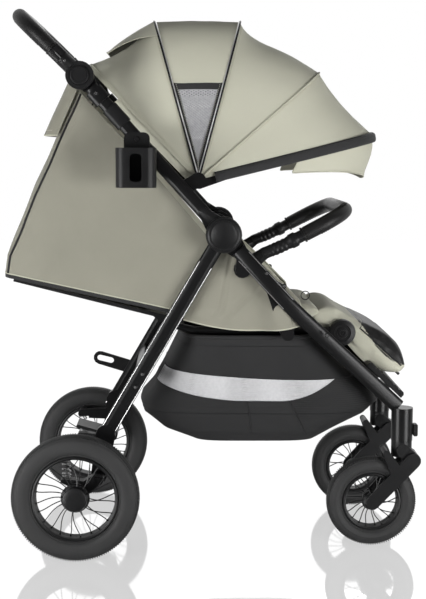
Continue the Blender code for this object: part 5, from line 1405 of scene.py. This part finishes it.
def upright(centre, wheel_y, side):
    """Turns a flat drawing, whose Z points outwards, into the plane of a wheel."""
    return Matrix(((1.0, 0.0, 0.0, centre[0]), (0.0, 0.0, side, side * wheel_y), (0.0, 1.0, 0.0, centre[1]),
                   (0.0, 0.0, 0.0, 1.0)))


# %% [markdown]
# The tyre's section is round, with a flat tread, a step where the side wall meets the rim, and rows of small
# blocks on both shoulders. The spokes leave the hub almost together in pairs and spread towards the rim.

# %% Wheels
WHEELS = {"rear": {"axle": REAR_AXLE, "y": REAR_WHEEL_Y, "radius": 0.13495, "rim": 0.0885, "hub": 0.0265,
                   "width": 0.045, "pairs": 12, "blocks": 160},
          "front": {"axle": FRONT_AXLE, "y": FRONT_WHEEL_Y, "radius": 0.09803, "rim": 0.0615, "hub": 0.0180,
                    "width": 0.040, "pairs": 10, "blocks": 120}}
BLOCK_SIZE, BLOCK_SLANT = (0.0022, 0.0021, 0.0080), 16.0
SPOKE_RADIUS, NIPPLE_RADIUS = 0.00115, 0.0020


def tyre_profile(radius, bore, half):
    flank = [(bore, 0.55), (bore + 0.0015, 0.66), (bore + 0.0045, 0.80), (bore + 0.0052, 0.775), (bore + 0.0062, 0.775),
             (bore + 0.0072, 0.84), (bore + 0.0120, 0.965), (bore + 0.0180, 1.0), (radius - 0.0180, 0.985),
             (radius - 0.0110, 0.90), (radius - 0.0072, 0.79), (radius - 0.0066, 0.745), (radius - 0.0052, 0.725),
             (radius - 0.0030, 0.56), (radius - 0.0016, 0.36), (radius, 0.12)]
    return [(r, -y * half) for r, y in flank] + [(r, y * half) for r, y in reversed(flank)]


def rim_profile(rim, half):
    """The hollow band that carries the tyre, as a closed section."""
    side = [(rim, 0.72), (rim + 0.0016, 0.80), (rim - 0.0010, 0.84), (rim - 0.0042, 0.76), (rim - 0.0054, 0.52),
            (rim - 0.0036, 0.24)]
    return [(rim, -0.72 * half)] + [(r, y * half) for r, y in side] + [(r, -y * half) for r, y in reversed(side[1:])]


def hub_profile(hub, low, high):
    """Inner flange, barrel, outer flange and domed cap."""
    return [(0.26 * hub, low), (0.80 * hub, low), (0.94 * hub, low + 0.0015), (0.96 * hub, low + 0.0080),
            (0.55 * hub, low + 0.0100), (0.52 * hub, high - 0.0210), (1.10 * hub, high - 0.0190),
            (1.16 * hub, high - 0.0165), (1.12 * hub, high - 0.0140), (0.99 * hub, high - 0.0130),
            (hub, high - 0.0115), (0.99 * hub, high - 0.0050), (0.93 * hub, high - 0.0018),
            (0.80 * hub, high - 0.0002), (0.45 * hub, high + 0.0006), (0.06 * hub, high + 0.0008)]


def tread_block(radius, half, hand):
    """One small block on a shoulder, lying flat in the drawing plane."""
    bm = bmesh.new()
    bmesh.ops.create_cube(bm, size=1.0)
    bmesh.ops.scale(bm, vec=BLOCK_SIZE, verts=bm.verts)
    bmesh.ops.rotate(bm, matrix=Matrix.Rotation(hand * math.radians(BLOCK_SLANT), 3, "Y"), verts=bm.verts)
    bmesh.ops.translate(bm, vec=(radius - 0.0032, 0.0, hand * half * 0.50), verts=bm.verts)
    return bm


def spoke_pair(hub, rim, half):
    """Two wires, one from each flange of the hub, that part on their way to the rim."""
    bm = bmesh.new()
    root, tip = hub * 1.02, rim - 0.0035
    for hand in (-1.0, 1.0):
        path = []
        for share in steps(0.0, 1.0, 9):
            degrees = hand * (1.5 + 6.2 * share) - 10.0 * math.sin(math.pi * 0.5 * (1.0 - share)) ** 2
            height = hand * half * (0.52 - 0.30 * share) + (0.10 * half if hand > 0 else 0.0)
            x, y = polar((0.0, 0.0), degrees, root + share * (tip - root))
            path.append(Vector((x, y, height)))
        nipple = [path[-2].lerp(path[-1], 0.55), path[-1]]
        for line, radius in ((path, SPOKE_RADIUS), (nipple, NIPPLE_RADIUS)):
            add_loft(bm, sweep_rings(line, circle_section(radius, 6), UPWARDS))
    return bm


def wheel(kind, name, side):
    size = WHEELS[kind]
    centre, y, half = size["axle"], size["y"], size["width"] / 2.0
    body = kind + "_wheel_" + name
    bm = bmesh.new()
    profile = tyre_profile(size["radius"], size["rim"] + 0.0004, half)
    add_turned(bm, [(r, y + across) for r, across in profile], centre, side, 128, True)
    for hand in (-1.0, 1.0):
        ring = ring_of(tread_block(size["radius"], half, hand), size["blocks"], RUBBER)
        add_mesh(bm, ring, 0, upright(centre, y, side))
    piece(kind + "_tyre_round_" + name, bm, RUBBER, body, [kind + "_tyre_" + name], smooth=32.0)
    bm = bmesh.new()
    add_turned(bm, [(r, y + across) for r, across in rim_profile(size["rim"], half)], centre, side, 96, True)
    add_turned(bm, hub_profile(size["hub"], y - half + 0.001, y + half + 0.001), centre, side, 48, False)
    ring = ring_of(spoke_pair(size["hub"], size["rim"], half), size["pairs"], BLACK_METAL)
    add_mesh(bm, ring, 1, upright(centre, y, side))
    piece(kind + "_rim_round_" + name, bm, [BLACK_PLASTIC, BLACK_METAL], body,
          [kind + "_rim_" + name], smooth=32.0)


for kind in WHEELS:
    for name, side in SIDES:
        wheel(kind, name, side)
print("spokes on each rear and front wheel:", [2 * size["pairs"] for size in WHEELS.values()])

# %% [markdown]
# Each rear leg stands on a short steel coil. It is one wire wound five times, swept along a helix whose first
# and last quarter turns flatten.

# %% Springs
SPRING_X, SPRING_Y, SPRING_TOP, SPRING_LENGTH = -0.022, 0.2231, 0.21195, 0.047
COIL_RADIUS, COIL_TURNS, COIL_END, WIRE_RADIUS = 0.0085, 5.6, 0.0018, 0.0015


def coil(side):
    path = []
    for share in steps(0.0, 1.0, 161):
        turn = 2.0 * math.pi * COIL_TURNS * share
        rise = share - 0.055 * math.sin(2.0 * math.pi * share)
        path.append(Vector((SPRING_X + COIL_RADIUS * math.cos(turn), side * SPRING_Y + COIL_RADIUS * math.sin(turn),
                            SPRING_TOP - SPRING_LENGTH + COIL_END + rise * (SPRING_LENGTH - 2.0 * COIL_END))))
    return path


for name, side in SIDES:
    spring = tube("spring_coil_" + name, coil(side), WIRE_RADIUS, SPRING_STEEL, "rear_frame",
                  ["rear_spring_" + name], 8, UPWARDS)
    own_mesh(spring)

# %% [markdown]
# The handle and the bumper bar are wrapped in leatherette: a sleeve pulled over foam, sewn along its inner side
# and closed by a ring at each end. The sleeve swells a little between its ends, as a wrapped grip does.

# %% Grips
HANDLE_HALF, HANDLE_INNER, HANDLE_STRAIGHT, HANDLE_CORNER = 0.2235, 0.147, 0.105, 0.075
BUMPER_SOCKET, BUMPER_ANGLE, BUMPER_HALF, BUMPER_INNER = (0.440, 0.663), 28.0, 0.199, 0.129
BUMPER_ELBOW = (0.393, 0.643)
COLLAR_SPOTS = (0.0330, 0.0340, 0.0375, 0.0640, 0.0740, 0.0775, 0.0785)
COLLAR_SCALES = (0.90, 0.98, 1.0, 1.0, 1.0, 0.98, 0.90)
GRIP_STITCH = (0.0050, 0.0034, 0.0005)
RING_WIDTH = 0.004
RING_OFFSETS = (0.0, 0.0012, 0.0038, 0.0042, 0.0058, 0.0064, 0.010)


def arch(point, degrees, starts, straight, corner, y, inner_y):
    """Route of a U-shaped bar from its right end to its left end."""
    side = [(reach, y) for reach in starts]
    for quarter in steps(0.0, 90.0, 22):
        turn = math.radians(quarter)
        side.append((straight + corner * math.sin(turn), inner_y + corner * math.cos(turn)))
    middle = [(straight + corner, inner_y * share) for share in (0.75, 0.5, 0.25, 0.0)]
    half = [(reach, -across) for reach, across in side + middle]
    whole = half + [(reach, -across) for reach, across in reversed(half[:-1])]
    return [at(polar(point, degrees, reach), across) for reach, across in whole]


def sleeve_scales(path):
    """Rings at both ends of a sleeve and a slight swell between them."""
    lengths = run_lengths(path)
    total = lengths[-1]
    scales = []
    for spot in lengths:
        edge = min(spot, total - spot)
        if edge < RING_WIDTH:
            scales.append(1.05)
        elif edge < 1.5 * RING_WIDTH:
            scales.append(0.93)
        else:
            scales.append(1.0 + 0.03 * math.sin(math.pi * spot / total) - 0.03 * math.exp(-edge / 0.01))
    return scales


def end_steps(path):
    """Close points at both ends of a path, so that narrow rings can be cut there."""
    ends = []
    for start, after in ((path[0], path[1]), (path[-1], path[-2])):
        run = after - start
        ends.append([start + run.normalized() * offset for offset in RING_OFFSETS if offset < run.length])
    return ends[0] + path[1:-1] + ends[1][::-1]


def wrapped(name, path, radius, inward, body, nodes):
    path = end_steps(path)
    bm = bmesh.new()
    add_loft(bm, sweep_rings(path, circle_section(radius, 28), inward, sleeve_scales(path)))
    rings = sweep_rings(path, [(radius * 1.015, -0.0014), (radius * 1.015, 0.0014)], inward)
    for index in (0, 1):
        add_stitches(bm, [[ring[index] for ring in rings[8:-8]]], 1, *GRIP_STITCH)
    piece(name, bm, [LEATHER, BLACK_CLOTH], body, nodes, smooth=40.0)


def handle_collar(name, side):
    """The squarish plastic sleeve between the knuckle and the grip."""
    section = [(0.0125 * squarish(math.cos(turn), 0.6), 0.0158 * squarish(math.sin(turn), 0.6))
               for turn in steps(0.0, 2.0 * math.pi, 33)[:-1]]
    route = [at(polar(HANDLE_JOINT, HANDLE_ANGLE, spot), side * HANDLE_HALF) for spot in COLLAR_SPOTS]
    bm = bmesh.new()
    add_loft(bm, sweep_rings(route, section, SIDEWAYS, COLLAR_SCALES))
    piece("handle_collar_" + name, bm, BLACK_PLASTIC, "handle")


def bumper_scale(spot):
    """Width of the bumper bar's end: a plain neck, a ribbed knuckle and a collar before the sleeve."""
    rib = 0.10 if 0.020 < spot < 0.064 and int(spot / 0.0052) % 2 else 0.0
    collar = 0.30 if 0.064 <= spot < 0.080 else 0.0
    return 1.22 + rib + collar


def bumper_bar():
    bm = bmesh.new()
    for side in (-1.0, 1.0):
        spots = (BUMPER_ELBOW, BUMPER_SOCKET, polar(BUMPER_SOCKET, BUMPER_ANGLE, 0.0815))
        path = smooth_path([at(spot, side * BUMPER_HALF) for spot in spots], 26)
        scales = [bumper_scale(spot) for spot in run_lengths(path)]
        add_loft(bm, sweep_rings(path, circle_section(0.0105, 20), SIDEWAYS, scales))
    bare = node_mesh("bumper_bar")
    mesh = bpy.data.meshes.new("bumper_copy")
    bare.to_mesh(mesh)
    bare.free()
    add_mesh(bm, mesh, 0)
    piece("bumper_bar_ribbed", bm, BLACK_PLASTIC, "bumper", ["bumper_bar"], smooth=40.0)


for name, side in SIDES:
    handle_collar(name, side)
handle_path = arch(HANDLE_JOINT, HANDLE_ANGLE, (0.077, 0.091), HANDLE_STRAIGHT, HANDLE_CORNER, HANDLE_HALF,
                   HANDLE_INNER)
wrapped("handle_sleeve", handle_path, 0.0155, heading(HANDLE_ANGLE + 90.0), "handle", ["handlebar_grip"])
bumper_path = arch(BUMPER_SOCKET, BUMPER_ANGLE, (0.0420, 0.0700), 0.0806, 0.070, BUMPER_HALF, BUMPER_INNER)
wrapped("bumper_sleeve", bumper_path, 0.0160, heading(BUMPER_ANGLE - 90.0), "bumper", ["bumper_grip"])
bumper_bar()

# %% [markdown]
# A pad is foam in a sewn cover. It starts as a plain closed form a little smaller than the real one. Cloth
# simulation with air pressure inside makes it swell between its edges, which no formula does as well. The sewn
# channels are pressed in afterwards, because the even mesh that the simulation needs would lose them.

# %% Pads
CHANNEL_DEPTH, CHANNEL_REACH, CHANNEL_SHIFT = 0.0050, 0.0060, 0.0042
PAD_SIDE, PAD_TOP, PAD_PULL = 0.22, 0.42, 0.03
PAD_COLUMNS = 56
SIMULATED_FRAMES = 20
VOXEL, PRESSURE = 0.005, 4.0


def pad_form(line, height, half_width):
    """Closed rounded form round a line of (x, z) points, which lies in the middle of its thickness."""
    rings = []
    for index, point in enumerate(line):
        ahead, behind = line[min(index + 1, len(line) - 1)], line[max(index - 1, 0)]
        degrees = math.degrees(math.atan2(ahead[1] - behind[1], ahead[0] - behind[0]))
        share = 2.0 * index / (len(line) - 1) - 1.0
        taper = max(0.22, (1.0 - abs(share) ** 9) ** 0.4)
        width = half_width * (1.0 - PAD_PULL * (1.0 - share ** 2)) * (0.96 + 0.04 * taper)
        ring = []
        for column in range(PAD_COLUMNS):
            turn = 2.0 * math.pi * (column + 0.5) / PAD_COLUMNS
            up = height / 2.0 * taper * squarish(math.sin(turn), PAD_TOP)
            ring.append(at(beside(point, degrees, up), width * squarish(math.cos(turn), PAD_SIDE)))
        rings.append(ring)
    bm = bmesh.new()
    add_loft(bm, rings)
    return bm


def evaluated(holder):
    """The mesh that an object's modifiers make, and the object without them."""
    bpy.context.view_layer.update()
    mesh = bpy.data.meshes.new_from_object(holder.evaluated_get(bpy.context.evaluated_depsgraph_get()))
    holder.modifiers.clear()
    return mesh


def swollen(bm, cap):
    """Even mesh, swollen by air pressure up to a cap, with one subdivision."""
    mesh = bpy.data.meshes.new("pad_form")
    bmesh.ops.recalc_face_normals(bm, faces=bm.faces)
    bm.to_mesh(mesh)
    bm.free()
    holder = bpy.data.objects.new("pad_form", mesh)
    bpy.context.scene.collection.objects.link(holder)
    remesh = holder.modifiers.new("remesh", "REMESH")
    remesh.mode = "VOXEL"
    remesh.voxel_size = VOXEL
    holder.data = evaluated(holder)
    rest = [vert.co.copy() for vert in holder.data.vertices]
    cloth = holder.modifiers.new("cloth", "CLOTH")
    cloth.settings.quality = 4
    cloth.settings.use_pressure = True
    cloth.settings.uniform_pressure_force = PRESSURE
    cloth.settings.effector_weights.gravity = 0.0
    cloth.point_cache.frame_end = SIMULATED_FRAMES
    for number in range(1, SIMULATED_FRAMES + 1):
        bpy.context.scene.frame_set(number)
    result = evaluated(holder)
    for vert, start in zip(result.vertices, rest):
        move = vert.co - start
        if move.length > cap:
            vert.co = start + move.normalized() * cap
    holder.data = result
    bpy.context.scene.frame_set(1)
    finer = holder.modifiers.new("finer", "SUBSURF")
    finer.levels = finer.render_levels = 1
    swelled = bmesh.new()
    swelled.from_mesh(evaluated(holder))
    bpy.data.objects.remove(holder)
    return swelled


def box_uv(bm):
    """A UV map in metres that looks along each face's main direction, so that the weave keeps its size."""
    layer = bm.loops.layers.uv.verify()
    bm.normal_update()
    for face in bm.faces:
        normal = [abs(value) for value in face.normal]
        skip = normal.index(max(normal))
        first, second = [axis for axis in range(3) if axis != skip]
        for loop in face.loops:
            loop[layer].uv = (loop.vert.co[first], loop.vert.co[second])


def pad(name, start, end, height, half_width, body, node, cap, channels, floor):
    """A whole pad: form, swelling, a flat underside, sewn channels and stitches."""
    line = [between([start, end], share) for share in steps(0.0, 1.0, 40)]
    along = (at(end, 0.0) - at(start, 0.0)).normalized()
    up = Vector(heading(math.degrees(math.atan2(end[1] - start[1], end[0] - start[0])) + 90.0))
    if up.z < 0.0:
        up = -up
    bm = swollen(pad_form(line, height, half_width), cap)
    spots = [between(line, share) for share in channels]
    for vert in bm.verts:
        for spot in spots:
            offset = vert.co - at(spot, vert.co.y)
            gap, above = offset.dot(along), offset.dot(up)
            if above > 0.0 and abs(gap) < 5.0 * CHANNEL_REACH:
                vert.co -= up * (CHANNEL_DEPTH * math.exp(-(gap / CHANNEL_REACH) ** 2) * min(1.0, above / 0.008))
        depth = (vert.co - at(floor, vert.co.y)).dot(up)
        if depth < 0.0:
            vert.co -= up * depth
    for face in bm.faces:
        face.material_index = FACE
    box_uv(bm)
    surface = BVHTree.FromBMesh(bm)
    for spot in spots:
        for shift in (-CHANNEL_SHIFT, CHANNEL_SHIFT):
            starts = [at(spot, y) + along * shift + up * 0.08 for y in steps(-half_width * 0.96, half_width * 0.96, 90)]
            row = traced(surface, starts, -up, up * 0.0003)
            if len(row) > 2:
                add_stitches(bm, [row], STITCH)
    obj = sewn(name, bm, body, [node])
    print(name, "triangles:", sum(len(polygon.vertices) - 2 for polygon in obj.data.polygons))


pad("seat_cushion", (0.256, 0.5105), (0.524, 0.5135), 0.030, 0.159, "frame", "seat_pad", 0.006,
    channels=(0.24, 0.50, 0.76), floor=(0.390, 0.4925))

BACK_ANGLE = 166.0
board_top = beside(polar(RECLINE_PIVOT, BACK_ANGLE, 0.045), BACK_ANGLE, -0.0195)
pad_low = beside(board_top, BACK_ANGLE, -0.0135)
pad_high = polar(pad_low, BACK_ANGLE, 0.276)
pad("backrest_cushion", pad_high, pad_low, 0.020, 0.156, "backrest", "backrest_pad", 0.005,
    channels=(0.22, 0.48, 0.74), floor=beside(board_top, BACK_ANGLE, -0.0006))

# %% [markdown]
# The leg rest is a board in a padded sleeve. Its cover starts as a soft hump at the front of the seat, runs down
# over the hinge and ends in wipeable black leatherette where the shoes rest. It is one piece.

# %% Leg rest cover
LEG_TOP = [(0.508, 0.515), (0.516, 0.521), (0.530, 0.524), (0.552, 0.518), (0.575, 0.503), (0.602, 0.489),
           (0.624, 0.480), (0.663, 0.460), (0.698, 0.430), (0.7088, 0.405), (0.7115, 0.392)]
LEG_LOW = [(0.501, 0.503), (0.504, 0.495), (0.512, 0.486), (0.530, 0.478), (0.548, 0.470), (0.570, 0.458),
           (0.588, 0.443), (0.621, 0.408), (0.658, 0.382), (0.693, 0.375), (0.7055, 0.384)]
LEATHER_EDGE = [(0.591, 0.511), (0.618, 0.478), (0.647, 0.434), (0.676, 0.408), (0.711, 0.395)]
LEG_ANGLE = -42.0
LEG_HALF = 0.146
HEM_REACH, SHIN_REACH = 0.024, 0.096


def leg_form():
    top, low = [smooth_path([at(spot, 0.0) for spot in line], 5) for line in (LEG_TOP, LEG_LOW)]
    rings = []
    for upper, lower, share in zip(top, low, steps(-1.0, 1.0, len(top))):
        taper = max(0.30, (1.0 - abs(share) ** 10) ** 0.45)
        ring = []
        for column in range(PAD_COLUMNS):
            turn = 2.0 * math.pi * (column + 0.5) / PAD_COLUMNS
            y = (LEG_HALF + 0.004 * taper) * squarish(math.cos(turn), 0.20)
            point = (upper + lower) / 2.0 + (upper - lower) / 2.0 * squarish(math.sin(turn), 0.40)
            ring.append(at((point.x, point.z), y))
        rings.append(ring)
    bm = bmesh.new()
    add_loft(bm, rings)
    return bm


def leather_height(x):
    """The height above which the cover is leatherette at a place along it, or None where it is all cloth."""
    for start, end in zip(LEATHER_EDGE, LEATHER_EDGE[1:]):
        if start[0] <= x <= end[0]:
            return between([start, end], (x - start[0]) / (end[0] - start[0]))[1]
    return None


def leg_cover():
    bm = swollen(leg_form(), 0.006)
    axis = Vector(heading(LEG_ANGLE))
    up = Vector((-axis.z, 0.0, axis.x))
    start = at(LEGREST_PIVOT, 0.0)
    for face in bm.faces:
        centre = face.calc_center_median()
        height = leather_height(centre.x)
        face.material_index = DARK_HIDE if height is not None and centre.z > height else FACE
    box_uv(bm)
    surface = BVHTree.FromBMesh(bm)
    rows = []
    for reach in (HEM_REACH, SHIN_REACH):
        starts = [start + axis * reach + Vector((0.0, y, 0.0)) + up * 0.12 for y in steps(-LEG_HALF, LEG_HALF, 80)]
        rows.append(traced(surface, starts, -up, up * 0.0004))
    add_stitches(bm, [rows[0]], STITCH)
    add_cord(bm, [point + axis * 0.0045 for point in rows[0]], 0.0016, CORD, reference=UPWARDS)
    add_stitches(bm, [rows[1]], CORD)
    for side in (-1.0, 1.0):
        out = Vector((0.0, side, 0.0))
        starts = [start + axis * reach + up * 0.027 + out * 0.25 for reach in steps(0.030, 0.150, 50)]
        row = traced(surface, starts, -out, out * 0.0005)
        add_stitches(bm, [row], STITCH)
        add_cord(bm, [point + up * 0.0035 for point in row], 0.0015, CORD)
    obj = sewn("legrest_cover", bm, None, ["legrest_pad"])
    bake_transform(obj)


leg_cover()

# %% [markdown]
# The leg rest turns in a shallow black housing at each side of the seat's front. Its rim, ring and screw share one
# axis, so each is a single turned profile half hidden by the cover.

# %% Housings of the leg rest
HINGE_HOUSING = (0.570, 0.469)
HOUSING_DOME = [(0.0020, 0.1400), (0.0280, 0.1400), (0.0290, 0.1540), (0.0270, 0.1590), (0.0180, 0.1610),
                (0.0168, 0.1590), (0.0120, 0.1590), (0.0110, 0.1618), (0.0062, 0.1622), (0.0056, 0.1600),
                (0.0020, 0.1600)]
for name, side in SIDES:
    bm = bmesh.new()
    add_turned(bm, HOUSING_DOME, HINGE_HOUSING, side, 64, True)
    piece("legrest_housing_" + name, bm, BLACK_PLASTIC, "frame", smooth=32.0)
print("leg rest housings centred on", HINGE_HOUSING)

# %% [markdown]
# Small screws hold the tubes, brackets and knuckles. Each is a bright pan head with a recessed socket, drawn once
# and set in place by a third tree, which takes points with an outward direction. The recess is not cut: a small
# black cone on the middle of the head is painted shade where the socket lies in shadow.

# %% Geometry Nodes: screws
SCREW_RADIUS = 0.0034
# Head, socket and ring: radius and height as shares of the screw radius, and the material index. The socket is a black
# cone of painted shade.
SCREW_ROWS = ((1.0, 0.9, 0), (0.50, 1.1, 1), (1.55, 0.30, 1))


def screw_tree():
    """A low cone on every point, pointing along a direction."""
    tree, start, end = new_tree("screw_heads", [
        ("Radius", "NodeSocketFloat", 0.0032), ("Height", "NodeSocketFloat", 0.0016),
        ("Direction", "NodeSocketVector", None), ("Material", "NodeSocketMaterial", None)])
    head = tree.nodes.new("GeometryNodeMeshCone")
    head.inputs["Vertices"].default_value = 16
    top = Socket(tree, start.outputs["Radius"]) * 0.72
    turn = tree.nodes.new("FunctionNodeAlignRotationToVector")
    turn.axis = "Z"
    place = tree.nodes.new("GeometryNodeInstanceOnPoints")
    link_all(tree, (start.outputs["Radius"], head.inputs["Radius Bottom"]), (top.socket, head.inputs["Radius Top"]),
             (start.outputs["Height"], head.inputs["Depth"]), (start.outputs["Direction"], turn.inputs["Vector"]),
             (start.outputs["Geometry"], place.inputs["Points"]), (head.outputs["Mesh"], place.inputs["Instance"]),
             (turn.outputs[0], place.inputs["Rotation"]))
    finish_tree(tree, start, end, place.outputs[0])
    return tree


SCREWS = screw_tree()


def screws(name, body, spots, y):
    """Screw heads on the outer faces of both sides, each with a black cone of painted shade for its socket and the dark
    ring it sits in.
    """
    bm = bmesh.new()
    for _, side in SIDES:
        mesh = bpy.data.meshes.new("screw_points")
        mesh.from_pydata([(x, side * y, z) for x, z in spots], [], [])
        for share, high, index in SCREW_ROWS:
            values = {"Radius": SCREW_RADIUS * share, "Height": SCREW_RADIUS * high, "Direction": (0.0, side, 0.0),
                      "Material": SCREW_STEEL}
            add_mesh(bm, grown(SCREWS, mesh, values), index)
    piece(name, bm, [SCREW_STEEL, BLACK_PLASTIC], body, smooth=30.0)
    print(name, "heads:", 2 * len(spots))


# %% [markdown]
# The covers of the main hinge and the handle's buttons have thin raised rings moulded on them. Rays find how far
# out their faces lie, and each ring is a small turned section on that face. The screws and the wire hoop of the
# harness follow them.

# %% Moulded rings, screws and the harness hoop
HOOP_CENTRE, HOOP_RADIUS, HOOP_Y = (0.486, 0.553), 0.0090, -0.1815


def outer_face(node, point, side):
    """How far from the middle plane a node's outer face lies at a point of its side view."""
    source = bmesh.new()
    source.from_mesh(frame["nodes"][node].data)
    tree = BVHTree.FromBMesh(source)
    source.free()
    hit = tree.ray_cast(at(point, side * 0.40) + ORIGIN, Vector((0.0, -side, 0.0)))[0]
    return abs(hit.y - ORIGIN.y) if hit is not None else None


def rings_on(node, centre, rings, body):
    """Thin raised rings, given as (radius, half width, height), on the outer face of a round joint."""
    for name, side in SIDES:
        bm = bmesh.new()
        for radius, width, height in rings:
            y = outer_face(node + "_" + name, polar(centre, 80.0, radius), side)
            if y is not None:
                profile = [(radius - width, y - 0.0005), (radius - 0.5 * width, y + height),
                           (radius + 0.5 * width, y + height), (radius + width, y - 0.0005)]
                add_turned(bm, profile, centre, side, 96, True)
        if bm.faces:
            piece(node + "_rings_" + name, bm, BLACK_PLASTIC, body, smooth=40.0)


rings_on("main_hinge", HINGE, ((0.0350, 0.0012, 0.0012), (0.0300, 0.0006, 0.0006)), "frame")
rings_on("handle_button", HANDLE_JOINT, ((0.0150, 0.0008, 0.0008),), "handle")
screws("screws_frame", "frame", [(0.401, 0.605), (0.437, 0.578), (0.528, 0.474)], 0.2282)
screws("screws_rear_legs", "rear_frame", [(0.139, 0.387), (0.124, 0.359)], 0.2074)
screws("screws_push_tubes", "push_frame", [polar(HINGE, PUSH_ANGLE, 0.392)], 0.2312)
screws("screws_handle", "handle", [polar(HANDLE_JOINT, HANDLE_ANGLE, 0.0405)], 0.2400)
hoop = [at(polar(HOOP_CENTRE, degrees, HOOP_RADIUS), HOOP_Y) for degrees in steps(0.0, 360.0, 41)]
tube("harness_hoop", hoop, 0.0010, BLACK_PLASTIC, "frame", count=10)

# %% [markdown]
# Each leg is an extrusion with a flat outer face. Two thin rods of bare grey steel along the edges of that flat
# are painted highlight: they stand in for the thin lines of light that the leg's rounded edges catch, running down
# the legs from the hinge.

# %% Painted highlight lines on the legs
# Bare grey steel, used only as painted highlight lines on the black legs.
PAINTED_EDGE_HIGHLIGHT = bare_steel("painted_edge_highlight", 0.42, 0.28)
HIGHLIGHT_LINE_RADIUS = 0.0009
PROBE_STEPS, PROBE_STEP = 44, 0.0005
LEG_HIGHLIGHT_LINES = (("rear_leg", "rear_frame", REAR_LEG_ANGLE, 0.30, (0.075, 0.520)),
            ("front_leg", "frame", FRONT_ANGLE, 0.13, (0.062, 0.200)))


def flat_of(node, angle, reach):
    """Lower and upper edge of the flat of a leg's outer face at one place along it, and how far out it lies."""
    offsets = [index * PROBE_STEP for index in range(-PROBE_STEPS, PROBE_STEPS + 1)]
    faces = [outer_face(node, beside(polar(HINGE, angle, reach), angle, offset), -1.0) for offset in offsets]
    highest = max(y for y in faces if y is not None)
    hits = [index for index, y in enumerate(faces) if y is not None and y > highest - 0.0035]
    return offsets[hits[0]], offsets[hits[-1]], min(faces[hits[0] + 1], faces[hits[-1] - 1])


for label, body, angle, reach, span in LEG_HIGHLIGHT_LINES:
    low, high, y = flat_of(label + "_right", angle, reach)
    print(label, "flat from", round(low, 4), "to", round(high, 4), "outer face", round(y, 4))
    for name, side in SIDES:
        bm = bmesh.new()
        for offset in (low + PROBE_STEP, high - PROBE_STEP):
            line = [at(beside(polar(HINGE, angle, spot), angle, offset), side * y) for spot in steps(*span, 12)]
            add_loft(bm, sweep_rings(line, circle_section(HIGHLIGHT_LINE_RADIUS, 8), SIDEWAYS))
        # Two thin rods of painted highlight along each leg's outer flat.
        piece(label + "_painted_highlights_" + name, bm, PAINTED_EDGE_HIGHLIGHT, body)

# %% [markdown]
# The close of the file prints how many stitches were sewn.

# %% Close
print("stitches sewn:", sum(stitch_total))
